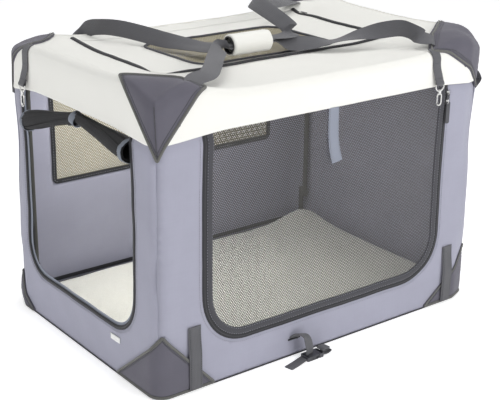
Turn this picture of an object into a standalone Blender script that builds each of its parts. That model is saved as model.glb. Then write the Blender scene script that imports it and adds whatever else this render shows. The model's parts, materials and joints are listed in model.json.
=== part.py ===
"""Folding fabric travel crate for a dog: a tube frame inside a sewn cover with mesh doors.

X runs along the crate, from the open end door at -X to the plain end at +X. The long side with
the closed mesh door faces -Y, and +Z is up. The origin is on the floor at the middle of the base.
"""
import math

import bmesh
import bpy
from mathutils import Matrix, Vector

for old in list(bpy.data.objects):
    bpy.data.objects.remove(old, do_unlink=True)

# Outer shell, measured to the outside of the cloth.
LENGTH = 0.910
WIDTH = 0.620
HEIGHT = 0.620
CORNER_R = 0.060
EDGE_R = 0.018
CLOTH = 0.003
SEAM = 0.0003
BAND_DROP = 0.084
BAND_Z = HEIGHT - BAND_DROP

# Tube frame: a loop at the floor, a loop under the cover and two folding hoops between them.
TUBE_R = 0.0065
TUBE_GAP = 0.0010
TOP_LOOP_DROP = 0.026
POST_INSET = 0.0245
UPRIGHT_TOP = 0.109
PIVOT_Z = 0.097
HOOP_BAR_DROP = 0.0705
HOOP_BEND = 0.040
HOOP_TAIL = 0.011
SIDE_PLAY = 0.0015
RIVET_R = 0.003
RIVET_FIT = 0.0001
RIVET_HEAD_R = 0.0055
RIVET_HEAD = 0.0022
CLIP_WIDTH = 0.070
CLIP_WALL = 0.003
CLIP_FIT = 0.0008

# Openings, doors and windows.
FRONT_LEFT = 0.114
FRONT_RIGHT = 0.125
FRONT_Z0 = 0.085
FRONT_R = 0.110
ZIP_W = 0.0075
ZIP_T = 0.0025
BIND_W = 0.0165
BIND_T = 0.0030
MESH_T = 0.0016
SIDE_EDGE = 0.082
SIDE_Z0 = 0.105
SIDE_R = 0.085
SIDE_BIND = 0.006
BACK_RIGHT = 0.110
BACK_LEFT = 0.147
BACK_Z0 = 0.270
BACK_TOP = 0.014
BACK_R = 0.030
BACK_BIND = 0.010
TOP_LEFT = 0.137
TOP_RIGHT = 0.123
TOP_FRONT = 0.197
TOP_BACK = 0.070
TOP_R = 0.035
WIN_LEFT = 0.108
WIN_RIGHT = 0.132
WIN_FRONT = 0.028
WIN_BACK = 0.068
WIN_R = 0.040
WIN_BIND = 0.008
FRONT_X0, FRONT_X1 = -LENGTH / 2 + FRONT_LEFT, LENGTH / 2 - FRONT_RIGHT
SIDE_HALF = WIDTH / 2 - SIDE_EDGE
BACK_X0, BACK_X1 = -LENGTH / 2 + BACK_RIGHT, LENGTH / 2 - BACK_LEFT
BACK_Z1 = BAND_Z - BACK_TOP
TOP_X0, TOP_X1 = -LENGTH / 2 + TOP_LEFT, LENGTH / 2 - TOP_RIGHT
TOP_Y0, TOP_Y1 = -WIDTH / 2 + TOP_FRONT, WIDTH / 2 - TOP_BACK
WIN_X0, WIN_X1 = TOP_X0 + WIN_LEFT, TOP_X1 - WIN_RIGHT
WIN_Y0, WIN_Y1 = TOP_Y0 + WIN_FRONT, TOP_Y1 - WIN_BACK

# Corner patches: how far each reaches along the two sides and up or down the corner.
PATCH_T = 0.0020
FOOT_EDGE = 0.0020
PATCH_TOP_X = 0.135
PATCH_TOP_LONG = 0.175
PATCH_TOP_Y = 0.125
PATCH_TOP_Z = 0.150
PATCH_FOOT_X = 0.145
PATCH_FOOT_LONG = 0.165
PATCH_FOOT_Y = 0.140
PATCH_FOOT_DEEP = 0.160
PATCH_FOOT_Z = 0.190
PATCH_BACK_Y = 0.100
PATCH_BACK_Z = 0.150
TOP_PATCHES = {
    "pad_top_front_left": (-1, -1, PATCH_TOP_X, PATCH_TOP_Y, PATCH_TOP_Z),
    "pad_top_front_right": (1, -1, PATCH_TOP_LONG, PATCH_TOP_Y, PATCH_TOP_Z),
    "pad_top_back_left": (-1, 1, PATCH_TOP_X, PATCH_TOP_Y, PATCH_TOP_Z),
    "pad_top_back_right": (1, 1, PATCH_TOP_X, PATCH_TOP_Y, PATCH_TOP_Z),
}
FOOT_PATCHES = {
    "pad_foot_front_left": (-1, -1, PATCH_FOOT_X, PATCH_FOOT_DEEP, PATCH_FOOT_Z),
    "pad_foot_front_right": (1, -1, PATCH_FOOT_LONG, PATCH_FOOT_Y, PATCH_FOOT_Z),
    "pad_foot_back_left": (-1, 1, PATCH_FOOT_X, PATCH_BACK_Y, PATCH_BACK_Z),
    "pad_foot_back_right": (1, 1, PATCH_FOOT_X, PATCH_FOOT_Y, PATCH_FOOT_Z),
}

# Webbing, hardware and the pieces that are carried or lifted.
WEB_T = 0.0022
HANDLE_WEB_W = 0.033
LOCK_WEB_W = 0.024
TAB_IN = 0.090
TAB_X = LENGTH / 2 - TAB_IN
TAB_W = 0.031
TAB_Z = 0.148
GRIP_X = -0.056
GRIP_BEHIND = 0.033
GRIP_Y = TOP_Y0 + GRIP_BEHIND
GRIP_RISE = 0.026
GRIP_Z = HEIGHT + GRIP_RISE
GRIP_LEN = 0.108
GRIP_R = 0.0215
GRIP_WALL = 0.0035
STRIP_X = -0.014
STRIP_W = 0.028
STRIP_LEN = 0.108
MAT_GAP = 0.008
MAT_T = 0.020
TAB_FOOT = 0.006
LABEL_Y = -0.152
LABEL_Z = 0.082
LABEL_W = 0.035
LABEL_H = 0.013
LABEL_T = 0.0008
STRIP_T = 0.0015
STRIP_CURL = 0.006
GRIP_PITCH = 0.006
GRIP_LEAD = 0.004
WEB_RISE = 0.034
WEB_END_X = 0.105
WEB_END_Y = 0.048
WEB_END_SHORT = 0.038
MAT_CROWN = 0.004
MAT_BEND = 0.040
ROLL_IN = 0.0055
ROLL_X = -LENGTH / 2 + ROLL_IN
ROLL_WALL = 0.004
ROLL_R_IN = 0.0125
ROLL_END_BACK = 0.105
ROLL_Y_BACK = WIDTH / 2 - ROLL_END_BACK
ROLL_DROP_BACK = 0.146
ROLL_Z_BACK = HEIGHT - ROLL_DROP_BACK
ROLL_R_BACK = 0.0200
ROLL_END_FRONT = 0.0895
ROLL_Y_FRONT = -WIDTH / 2 + ROLL_END_FRONT
ROLL_DROP_FRONT = 0.112
ROLL_Z_FRONT = HEIGHT - ROLL_DROP_FRONT
ROLL_R_FRONT = 0.0210
TIE_Y = -0.005
TIE_DROP = 0.0175
TIE_Z = BAND_Z - TIE_DROP
TIE_W = 0.016
TIE_T = 0.0016
LOCK_IN_X = 0.164
LOCK_IN_Y = 0.114
LOCK_DROP = 0.068
LOCK_X = LENGTH / 2 - LOCK_IN_X
LOCK_Y = WIDTH / 2 - LOCK_IN_Y
LOCK_Z = HEIGHT - LOCK_DROP
LOCK_STAND = 0.0065
EYE_W = 0.026
EYE_H = 0.015
EYE_WIRE = 0.0017
SWIVEL_R = 0.0036
SWIVEL_H = 0.0045
SHANK_R = 0.0016
SHANK_FIT = 0.0004
HEAD_R = 0.0028
HEAD_H = 0.0012
HOOK_W = 0.013
HOOK_H = 0.026
HOOK_WIRE = 0.0016
GATE_R = 0.0012
GATE_FIT = 0.0005
LOOP_IN = 0.048
LOOP_OUT = 0.022
LOOP_HALF = 0.024
LOOP_DROP = 0.088
LOOP_Y = -WIDTH / 2 + LOOP_IN
LOOP_Z = HEIGHT - LOOP_DROP
SLIDER_W = 0.0075
SLIDER_L = 0.0115
SLIDER_H = 0.0034
BAIL_R = 0.0034
BAIL_WIRE = 0.0008
BAIL_SUNK = 0.0006
PULL_T = 0.0012
PULL_BAR = 0.0012
PULL_PLAY = 0.0004
LOWER_SLIDER_DROP = 0.031
LOWER_SLIDER_Z = BAND_Z - LOWER_SLIDER_DROP
LOWER_PULL = 0.050
UPPER_SLIDER_DROP = 0.0105
UPPER_SLIDER_Z = BAND_Z - UPPER_SLIDER_DROP
UPPER_PULL = 0.014
LOWER_PULL_W = 0.0115
TOP_PULL_W = 0.0072
TAPE_PROUD = 0.0004
TOP_SLIDER_IN = 0.035
TOP_SLIDER_Y = TOP_Y1 - TOP_SLIDER_IN
TOP_PULL = 0.020
BUCKLE_X = -0.066
BUCKLE_OUT = 0.032
BUCKLE_T = 0.0095
BUCKLE_W = 0.027
SOCKET_L = 0.032
SOCKET_DEEP = 0.021
PLUG_L = 0.014
PACK_WEB_W = 0.024

SEG = 6


def material(name, rgb, roughness, metallic=0.0):
    mat = bpy.data.materials.new(name)
    mat.use_nodes = True
    bsdf = mat.node_tree.nodes["Principled BSDF"]
    bsdf.inputs["Base Color"].default_value = (*rgb, 1.0)
    bsdf.inputs["Roughness"].default_value = roughness
    bsdf.inputs["Metallic"].default_value = metallic
    mat.diffuse_color = (*rgb, 1.0)
    return mat


GREY_CLOTH = material("grey_cloth", (0.36, 0.37, 0.45), 0.85)
CREAM_CLOTH = material("cream_cloth", (0.86, 0.85, 0.80), 0.85)
PATCH_CLOTH = material("patch_cloth", (0.13, 0.125, 0.15), 0.80)
WEBBING = material("webbing", (0.095, 0.095, 0.10), 0.75)
DARK_MESH = material("dark_mesh", (0.10, 0.10, 0.115), 0.70)
PALE_MESH = material("pale_mesh", (0.62, 0.58, 0.48), 0.80)
BINDING = material("binding", (0.045, 0.045, 0.05), 0.85)
ZIP_TAPE = material("zip_tape", (0.06, 0.06, 0.068), 0.60)
TUBE_PAINT = material("tube_paint", (0.055, 0.055, 0.045), 0.40, 0.3)
CLIP_PLASTIC = material("clip_plastic", (0.04, 0.04, 0.042), 0.45)
BUCKLE_PLASTIC = material("buckle_plastic", (0.035, 0.035, 0.038), 0.30)
BRIGHT_METAL = material("bright_metal", (0.78, 0.78, 0.78), 0.18, 1.0)
FLEECE = material("fleece", (0.84, 0.82, 0.75), 0.95)
LABEL_CLOTH = material("label_cloth", (0.88, 0.88, 0.86), 0.70)


def arc(cx, cy, r, a0, a1, n=SEG):
    """Points on an arc from angle a0 to a1, in degrees."""
    steps = [math.radians(a0 + (a1 - a0) * i / n) for i in range(n + 1)]
    return [(cx + r * math.cos(a), cy + r * math.sin(a)) for a in steps]


def round_rect(x0, x1, y0, y1, r, n=SEG):
    """A closed rounded rectangle, anticlockwise."""
    return (arc(x1 - r, y0 + r, r, -90, 0, n) + arc(x1 - r, y1 - r, r, 0, 90, n)
            + arc(x0 + r, y1 - r, r, 90, 180, n) + arc(x0 + r, y0 + r, r, 180, 270, n))


def cup_path(x0, x1, z0, z1, r, n=SEG):
    """An open path down the left, round two lower corners and up the right."""
    return [(x0, z1)] + arc(x0 + r, z0 + r, r, 180, 270, n) + arc(x1 - r, z0 + r, r, 270, 360, n) \
        + [(x1, z1)]


def plan(offset, inset=0.0):
    """The crate's outline from above, a distance outside its walls, pulled in by inset."""
    x, y, r = LENGTH / 2 + offset - inset, WIDTH / 2 + offset - inset, CORNER_R + offset - inset
    return round_rect(-x, x, -y, y, r, 8)


SIDES = {"front": 225, "right": 315, "back": 45, "left": 135}


def side_path(side, offset, trim=0.0):
    """One wall's outline from above, from the middle of one corner to the middle of the next."""
    start = SIDES[side]
    cx, cy, r = LENGTH / 2 - CORNER_R, WIDTH / 2 - CORNER_R, CORNER_R + offset
    corners = {225: (-cx, -cy), 315: (cx, -cy), 45: (cx, cy), 135: (-cx, cy)}
    a, b = corners[start], corners[(start + 90) % 360]
    cut = math.degrees(trim / 2 / CORNER_R)
    return arc(*a, r, start + cut, start + 45, 4) + arc(*b, r, start + 45, start + 90 - cut, 4)


def finish(name, bm, mat, flat=35):
    """Turns a bmesh into a named object with its faces out and its round parts smooth."""
    bmesh.ops.recalc_face_normals(bm, faces=bm.faces)
    mesh = bpy.data.meshes.new(name)
    bm.to_mesh(mesh)
    bm.free()
    mesh.materials.append(mat)
    mesh.shade_smooth()
    mesh.set_sharp_from_angle(angle=math.radians(flat))
    obj = bpy.data.objects.new(name, mesh)
    bpy.context.collection.objects.link(obj)
    return obj


def loft(bm, rings, closed=False, caps=True):
    """Joins rings of points with quads, and closes the first and last ring."""
    made = [[bm.verts.new(p) for p in ring] for ring in rings]
    pairs = list(zip(made, made[1:])) + ([(made[-1], made[0])] if closed else [])
    for low, high in pairs:
        for i in range(len(low)):
            j = (i + 1) % len(low)
            bm.faces.new((low[i], low[j], high[j], high[i]))
    if caps and not closed:
        bm.faces.new(list(reversed(made[0])))
        bm.faces.new(made[-1])
    return made


def lofted(name, rings, mat, closed=False, flat=35):
    bm = bmesh.new()
    loft(bm, rings, closed)
    return finish(name, bm, mat, flat)


def at(axis, c, p, q):
    """A point with c along the given axis and p, q along the other two."""
    return {"x": (c, p, q), "y": (p, c, q), "z": (p, q, c)}[axis]


def prism(name, outline, axis, c0, c1, mat, flat=35):
    return lofted(name, [[at(axis, c, p, q) for p, q in outline] for c in (c0, c1)], mat, flat=flat)


def strip(name, outer, inner, axis, c0, c1, mat, closed=False):
    """A band between two paths with equal counts of points, with a thickness along axis."""
    rings = []
    for (p, q), (u, v) in zip(outer, inner):
        rings.append([at(axis, c0, p, q), at(axis, c1, p, q), at(axis, c1, u, v),
                      at(axis, c0, u, v)])
    return lofted(name, rings, mat, closed)


def boolean(obj, cutter, operation="DIFFERENCE"):
    mod = obj.modifiers.new(operation.title() + str(len(obj.modifiers)), "BOOLEAN")
    mod.operation = operation
    mod.solver = "EXACT"
    mod.object = cutter
    cutter.hide_render = True
    cutter.display_type = "WIRE"
    return obj


def smooth_line(values, spans, steps):
    """A smooth curve through the values: spans are the lengths between them, steps the pieces."""
    v = [Vector(x) for x in values]
    slope = []
    for i in range(len(v)):
        a, b = max(i - 1, 0), min(i + 1, len(v) - 1)
        slope.append((v[b] - v[a]) / sum(spans[a:b]))
    out = []
    for k, (d, n) in enumerate(zip(spans, steps)):
        for i in range(n):
            t = i / n
            rise = 3 * t * t - 2 * t ** 3
            out.append(v[k] * (1 - rise) + v[k + 1] * rise
                       + (slope[k] * (t - 1) + slope[k + 1] * t) * (t * (t - 1) * d))
    return out + [v[-1]]


def pipe(name, points, radius, mat, closed=False, sides=12, flat=35):
    """A round bar along a line of points; radius is one value or one for each point."""
    pts = [Vector(p) for p in points]
    count = len(pts)
    radii = radius if isinstance(radius, list) else [radius] * count
    ahead = []
    for i in range(count):
        before = pts[i - 1] if closed or i else pts[i]
        after = pts[(i + 1) % count] if closed or i < count - 1 else pts[i]
        ahead.append((after - before).normalized())
    side = ahead[0].orthogonal().normalized()
    if abs(ahead[0].z) < 0.9:
        side = ahead[0].cross(Vector((0, 0, 1))).normalized()
    rings = []
    for p, t, r in zip(pts, ahead, radii):
        side = (side - t * side.dot(t)).normalized()
        up = t.cross(side)
        turn = [2 * math.pi * (k + 0.5) / sides for k in range(sides)]
        rings.append([p + (side * math.cos(a) + up * math.sin(a)) * r for a in turn])
    return lofted(name, rings, mat, closed, flat)


def lathe(name, profile, centre, axis, mat, sides=16):
    """Turns a profile of (distance along axis, radius) pairs about an axis through centre."""
    rings = []
    for along, r in profile:
        ring = []
        for i in range(sides):
            a = 2 * math.pi * (i + 0.5) / sides
            ring.append(Vector(centre) + Vector(at(axis, along, r * math.cos(a), r * math.sin(a))))
        rings.append(ring)
    return lofted(name, rings, mat)


def ribbon(name, points, sides, width, thick, mat, step=0.022):
    """A flat webbing along a smooth curve; sides gives its width direction at each point."""
    spans = [(Vector(b) - Vector(a)).length for a, b in zip(points, points[1:])]
    steps = [max(2, round(d / step)) for d in spans]
    centre = smooth_line(points, spans, steps)
    across = smooth_line([Vector(v).normalized() for v in sides], spans, steps)
    count = len(centre)
    rings = []
    for i, (p, w) in enumerate(zip(centre, across)):
        ahead = (centre[min(i + 1, count - 1)] - centre[max(i - 1, 0)]).normalized()
        w = (w - ahead * w.dot(ahead)).normalized() * width / 2
        n = ahead.cross(w).normalized() * thick / 2
        rings.append([p - w - n, p + w - n, p + w + n, p - w + n])
    return lofted(name, rings, mat, flat=50)


def empty(name, location):
    obj = bpy.data.objects.new(name, None)
    obj.empty_display_size = 0.03
    obj.location = location
    bpy.context.collection.objects.link(obj)
    return obj


def hold(parent, *children):
    """Parents objects to an empty and leaves them where they are."""
    for child in children:
        child.parent = parent
        child.matrix_parent_inverse = Matrix.Translation(parent.location).inverted()


def pivot(obj, location):
    """Moves an object's origin to a point on its joint's axis."""
    obj.data.transform(Matrix.Translation(-Vector(location)))
    obj.location = location


# Tube frame.
rail_x = LENGTH / 2 - CLOTH - TUBE_GAP - TUBE_R
rail_y = WIDTH / 2 - CLOTH - TUBE_GAP - TUBE_R
floor_rail_z = CLOTH + SEAM + TUBE_R
rail_bend = CORNER_R - CLOTH - TUBE_GAP - TUBE_R
# The uprights stand on the rail's corner bends.
UPRIGHT_X = rail_x - POST_INSET
HOOP_BAR_Z = HEIGHT - HOOP_BAR_DROP
bend_x, bend_y = rail_x - rail_bend, rail_y - rail_bend
post_y = bend_y + math.sqrt(rail_bend ** 2 - (UPRIGHT_X - bend_x) ** 2)
top_rail_z = HEIGHT - TOP_LOOP_DROP


def loop_points(z):
    return [(x, y, z) for x, y in round_rect(-rail_x, rail_x, -rail_y, rail_y, rail_bend, SEG)]


bottom_frame = pipe("bottom_frame", loop_points(floor_rail_z), TUBE_R, TUBE_PAINT, True)
for sx in (-1, 1):
    for sy in (-1, 1):
        foot = (sx * UPRIGHT_X, sy * post_y, floor_rail_z)
        post = pipe("post", [foot, (foot[0], foot[1], UPRIGHT_TOP)], TUBE_R, TUBE_PAINT)
        boolean(bottom_frame, post, "UNION")
        drill = lathe("drill", [(-0.02, RIVET_R + RIVET_FIT), (0.02, RIVET_R + RIVET_FIT)],
                      (foot[0], foot[1], PIVOT_Z), "y", TUBE_PAINT)
        boolean(bottom_frame, drill)
top_frame = pipe("top_frame", loop_points(top_rail_z), TUBE_R, TUBE_PAINT, True)


def rivet(sx, sy, leg_y):
    """A pivot rivet turned about Y: a shank in the post, a collar that spaces the leg, a head."""
    seat, head = post_y - TUBE_R - SEAM, leg_y - TUBE_R
    profile = [(post_y + TUBE_R - SEAM, RIVET_R), (seat, RIVET_R), (seat, RIVET_HEAD_R),
               (head - RIVET_HEAD * 0.4, RIVET_HEAD_R), (head - RIVET_HEAD, RIVET_HEAD_R * 0.7)]
    profile = [(sy * along, r) for along, r in profile]
    return lathe("rivet", profile, (sx * UPRIGHT_X, 0, PIVOT_Z), "y", BRIGHT_METAL)


def hoop(name, sx, y):
    """A folding end hoop: two legs up from its pivots and a bar across under the cover."""
    low = PIVOT_Z - HOOP_TAIL
    bends = arc(-y + HOOP_BEND, HOOP_BAR_Z - HOOP_BEND, HOOP_BEND, 180, 90)
    bends += arc(y - HOOP_BEND, HOOP_BAR_Z - HOOP_BEND, HOOP_BEND, 90, 0)
    line = [(-y, low)] + bends + [(y, low)]
    obj = pipe(name, [(sx * UPRIGHT_X, p, q) for p, q in line], TUBE_R, TUBE_PAINT)
    for sy in (-1, 1):
        boolean(obj, rivet(sx, sy, y), "UNION")
    return obj


# The left hoop is the narrower one, so that it folds down inside the right one.
right_leg_y = post_y - 2 * TUBE_R - SIDE_PLAY
left_leg_y = right_leg_y - 2 * TUBE_R - SIDE_PLAY
left_hoop = hoop("left_hoop", -1, left_leg_y)
right_hoop = hoop("right_hoop", 1, right_leg_y)


def clip_outline(sx):
    """A moulded clip seen along the end tube: a C round the tube above and a cup for the bar."""
    top, low = (rail_x, top_rail_z), (UPRIGHT_X, HOOP_BAR_Z)
    grip, cup = TUBE_R + SEAM, TUBE_R + CLIP_FIT
    line = arc(*top, grip + CLIP_WALL, 50, 235, 8)
    line += arc(*low, cup, 60, -110, 8)
    line += arc(*low, cup + CLIP_WALL, -110, -10, 6)
    line += arc(*top, grip + CLIP_WALL, -70, -50, 2)
    line += arc(*top, grip, -50, -310, 12)
    return [(sx * p, q) for p, q in line]


for name, sx in (("left_bar_clip", -1), ("right_bar_clip", 1)):
    prism(name, clip_outline(sx), "y", -CLIP_WIDTH / 2, CLIP_WIDTH / 2, CLIP_PLASTIC)


# Cloth walls, floor and cover.
def wall(name, side, z0, z1, mat):
    outer, inner = side_path(side, 0, SEAM), side_path(side, -CLOTH, SEAM)
    return strip(name, outer, inner, "z", z0, z1, mat)


front_wall = wall("front_wall", "front", 0, BAND_Z - SEAM, GREY_CLOTH)
left_wall = wall("left_wall", "left", 0, BAND_Z - SEAM, GREY_CLOTH)
back_wall = wall("back_wall", "back", 0, BAND_Z - SEAM, GREY_CLOTH)
right_wall = wall("right_wall", "right", 0, BAND_Z - SEAM, GREY_CLOTH)
deep = 0.03
front_y = -WIDTH / 2
left_x = -LENGTH / 2


def closed_cup(x0, x1, z0, z1, r):
    return cup_path(x0, x1, z0, z1, r)


cut = prism("front_cut", closed_cup(FRONT_X0, FRONT_X1, FRONT_Z0, BAND_Z + deep, FRONT_R), "y",
            front_y - deep, front_y + deep, GREY_CLOTH)
boolean(front_wall, cut)
cut = prism("left_cut", closed_cup(-SIDE_HALF, SIDE_HALF, SIDE_Z0, BAND_Z + deep, SIDE_R), "x",
            left_x - deep, left_x + deep, GREY_CLOTH)
boolean(left_wall, cut)
cut = prism("back_cut", round_rect(BACK_X0, BACK_X1, BACK_Z0, BACK_Z1, BACK_R), "y",
            -front_y - deep, -front_y + deep, GREY_CLOTH)
boolean(back_wall, cut)
prism("floor_panel", plan(-CLOTH - SEAM), "z", 0, CLOTH, GREY_CLOTH)


def shrink_cup(x0, x1, z0, z1, r, by):
    return cup_path(x0 + by, x1 - by, z0 + by, z1, r - by)


def shrink_rect(x0, x1, y0, y1, r, by):
    return round_rect(x0 + by, x1 - by, y0 + by, y1 - by, r - by)


def cup_band(name, box, r, near, far, axis, c0, c1, mat):
    """A U-shaped band lying between two distances inside an opening's edge."""
    outer, inner = shrink_cup(*box, r, near), shrink_cup(*box, r, far)
    return strip(name, outer, inner, axis, c0, c1, mat)


front_box = (FRONT_X0, FRONT_X1, FRONT_Z0, BAND_Z - SEAM)
cup_band("front_door_zip", front_box, FRONT_R, SEAM, ZIP_W, "y", front_y - TAPE_PROUD,
         front_y - TAPE_PROUD + ZIP_T, ZIP_TAPE)
door_edge = ZIP_W + SEAM
door_in = ZIP_W + BIND_W
cup_band("front_door_binding", front_box, FRONT_R, door_edge, door_in, "y", front_y,
         front_y + BIND_T, BINDING)
prism("front_door_mesh", shrink_cup(*front_box, FRONT_R, door_in + SEAM), "y",
      front_y + 0.0006, front_y + 0.0006 + MESH_T, DARK_MESH)
side_box = (-SIDE_HALF, SIDE_HALF, SIDE_Z0, BAND_Z - SEAM)
cup_band("left_door_zip", side_box, SIDE_R, SEAM, SIDE_BIND, "x", left_x - TAPE_PROUD,
         left_x - TAPE_PROUD + ZIP_T, ZIP_TAPE)
back_box = (BACK_X0, BACK_X1, BACK_Z0, BACK_Z1)
strip("back_window_binding", shrink_rect(*back_box, BACK_R, SEAM),
      shrink_rect(*back_box, BACK_R, BACK_BIND), "y", -front_y - CLOTH, -front_y, BINDING, True)
prism("back_window_mesh", shrink_rect(*back_box, BACK_R, BACK_BIND + SEAM), "y",
      -front_y - CLOTH + 0.0006, -front_y - CLOTH + 0.0006 + MESH_T, PALE_MESH)


def cap_rings(offset, z_low, n=5):
    """Rings up the outside of the crate, over its rounded top edge, at an offset from it."""
    r = EDGE_R + offset
    rings = [[(x, y, z_low) for x, y in plan(offset)]]
    for i in range(n + 1):
        a = math.pi / 2 * i / n
        z = HEIGHT - EDGE_R + r * math.sin(a)
        rings.append([(x, y, z) for x, y in plan(offset, r * (1 - math.cos(a)))])
    return rings


# The band turns over the top edge, where the flat cover is sewn into it.
outer, inner = cap_rings(0, BAND_Z), cap_rings(-CLOTH, BAND_Z)
lofted("valance", outer + inner[::-1], CREAM_CLOTH, True)
cover_edge = plan(0, EDGE_R + SEAM)
top_cover = prism("top_cover", cover_edge, "z", HEIGHT - CLOTH, HEIGHT, CREAM_CLOTH)
hinge_gap = SEAM
top_box = (TOP_X0, TOP_X1, TOP_Y0, TOP_Y1)


def flap_outline(by, back):
    """The top door's outline: rounded at its two front corners and square at its hinge."""
    return cup_path(TOP_X0 + by, TOP_X1 - by, TOP_Y0 + by, TOP_Y1 - back, TOP_R - by)


boolean(top_cover, prism("top_cut", flap_outline(0, 0), "z", HEIGHT - deep, HEIGHT + deep,
                         CREAM_CLOTH))
strip("top_door_zip", flap_outline(SEAM, hinge_gap), flap_outline(ZIP_W, hinge_gap), "z",
      HEIGHT - CLOTH, HEIGHT + TAPE_PROUD, ZIP_TAPE)
hinge_y = TOP_Y1 - 2 * SEAM
top_flap = prism("top_door_panel", flap_outline(ZIP_W + SEAM, 2 * SEAM), "z", HEIGHT - CLOTH,
                 HEIGHT, CREAM_CLOTH)
win_box = (WIN_X0, WIN_X1, WIN_Y0, WIN_Y1)
boolean(top_flap, prism("window_cut", round_rect(*win_box, WIN_R), "z", HEIGHT - deep,
                        HEIGHT + deep, CREAM_CLOTH))
win_bind = strip("top_door_binding", shrink_rect(*win_box, WIN_R, SEAM),
                 shrink_rect(*win_box, WIN_R, WIN_BIND), "z", HEIGHT - CLOTH, HEIGHT, BINDING, True)
win_mesh = prism("top_door_mesh", shrink_rect(*win_box, WIN_R, WIN_BIND + SEAM), "z",
                 HEIGHT - CLOTH + 0.0006, HEIGHT - CLOTH + 0.0006 + MESH_T, PALE_MESH)


# Corner patches are a skin just outside the cloth, trimmed to a triangle on every face.
def patch(name, sx, sy, sz, along_x, along_y, along_z, base):
    """base is the height of the crate's corner; sz is the way up that the patch faces."""
    skin = []
    for offset in (SEAM + PATCH_T, SEAM):
        low = -0.02 if offset > SEAM else -0.03
        skin.append(lofted("skin", cap_rings(offset, low), PATCH_CLOTH))
    out = 0.02 if sz > 0 else 0.0
    m = 0.02
    grow = 1 + m / along_x + m / along_y + out / along_z
    tip = Vector((sx * (LENGTH / 2 + m), sy * (WIDTH / 2 + m), base + sz * out))
    legs = [Vector((-sx * along_x * grow, 0, 0)), Vector((0, -sy * along_y * grow, 0)),
            Vector((0, 0, -sz * along_z * grow))]
    bm = bmesh.new()
    v = [bm.verts.new(tip)] + [bm.verts.new(tip + leg) for leg in legs]
    for trio in ((0, 1, 2), (0, 2, 3), (0, 3, 1), (1, 3, 2)):
        bm.faces.new([v[k] for k in trio])
    obj = finish(name, bm, PATCH_CLOTH)
    boolean(obj, skin[0], "INTERSECT")
    boolean(obj, skin[1])
    return obj


for name, (sx, sy, ax, ay, az) in TOP_PATCHES.items():
    patch(name, sx, sy, 1, ax, ay, az, HEIGHT)
for name, (sx, sy, ax, ay, az) in FOOT_PATCHES.items():
    patch(name, sx, sy, -1, ax, ay, az, FOOT_EDGE)


# Foot webbing tabs and the bare label on the end wall.
tab_y = front_y - SEAM - PATCH_T - SEAM
for name, sx in (("front_tab_left", -1), ("front_tab_right", 1)):
    half = TAB_W / 2
    points = [(sx * TAB_X - half, TAB_FOOT), (sx * TAB_X + half, TAB_FOOT),
              (sx * TAB_X + half, TAB_Z), (sx * TAB_X - half, TAB_Z)]
    prism(name, points, "y", tab_y - WEB_T, tab_y, WEBBING)
prism("bare_label", [(LABEL_Y - LABEL_W / 2, LABEL_Z - LABEL_H / 2),
                     (LABEL_Y + LABEL_W / 2, LABEL_Z - LABEL_H / 2),
                     (LABEL_Y + LABEL_W / 2, LABEL_Z + LABEL_H / 2),
                     (LABEL_Y - LABEL_W / 2, LABEL_Z + LABEL_H / 2)],
      "x", left_x - SEAM - LABEL_T, left_x - SEAM, LABEL_CLOTH)

# Fleece mat, crowned, lying on the floor rails.
mat_low = floor_rail_z + TUBE_R + SEAM
mat_x = rail_x + TUBE_R - MAT_GAP
mat_y = rail_y - TUBE_R - MAT_GAP / 2
bm = bmesh.new()
rows = [(0.10, 0.0), (0.0, 0.35), (0.0, 0.65), (0.35, 0.88), (1.0, 1.0)]
rings = []
for pull, up in [(0.5, 0.0)] + rows:
    by = pull * MAT_T * 0.8
    outline = round_rect(-mat_x + by, mat_x - by, -mat_y + by, mat_y - by, MAT_BEND - by)
    rings.append([(x, y, mat_low + up * MAT_T) for x, y in outline])
made = loft(bm, rings, caps=False)
bm.faces.new(made[0])
crown = [bm.verts.new((x * 0.7, y * 0.6, mat_low + MAT_T + MAT_CROWN)) for x, y, z in
         [v.co for v in made[-1]]]
for i in range(len(crown)):
    j = (i + 1) % len(crown)
    bm.faces.new((made[-1][i], made[-1][j], crown[j], crown[i]))
bm.faces.new(crown)
fleece_mat = finish("fleece_mat", bm, FLEECE, 50)


# The end door is rolled up in two arms that meet in a tie under the cream band.
def roll(name, y_in, z_in, r_in, y_out, z_out, r_out):
    """A tapering roll of mesh with an open outer end."""
    steps, depth = 9, 3
    held = y_in + math.copysign(TIE_W / 2 + 0.003, y_out - y_in)
    centres, radii = [(ROLL_X, y_in, z_in), (ROLL_X, held, z_in)], [r_in, r_in]
    for i in range(1, steps):
        t = i / (steps - 1)
        centres.append((ROLL_X, y_in + (y_out - y_in) * t, z_in + (z_out - z_in) * t))
        radii.append((r_in + (r_out - r_in) * t) * (1 + 0.04 * math.sin(9 * t)))
    back = [(c, r - ROLL_WALL) for c, r in zip(centres[::-1], radii[::-1])][:depth]
    turn = [2 * math.pi * (k + 0.5) / 16 for k in range(16)]
    rings = []
    for c, r in list(zip(centres, radii)) + back:
        rings.append([(c[0] + r * math.cos(a), c[1], c[2] + r * math.sin(a)) for a in turn])
    return lofted(name, rings, DARK_MESH, flat=60)


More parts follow.
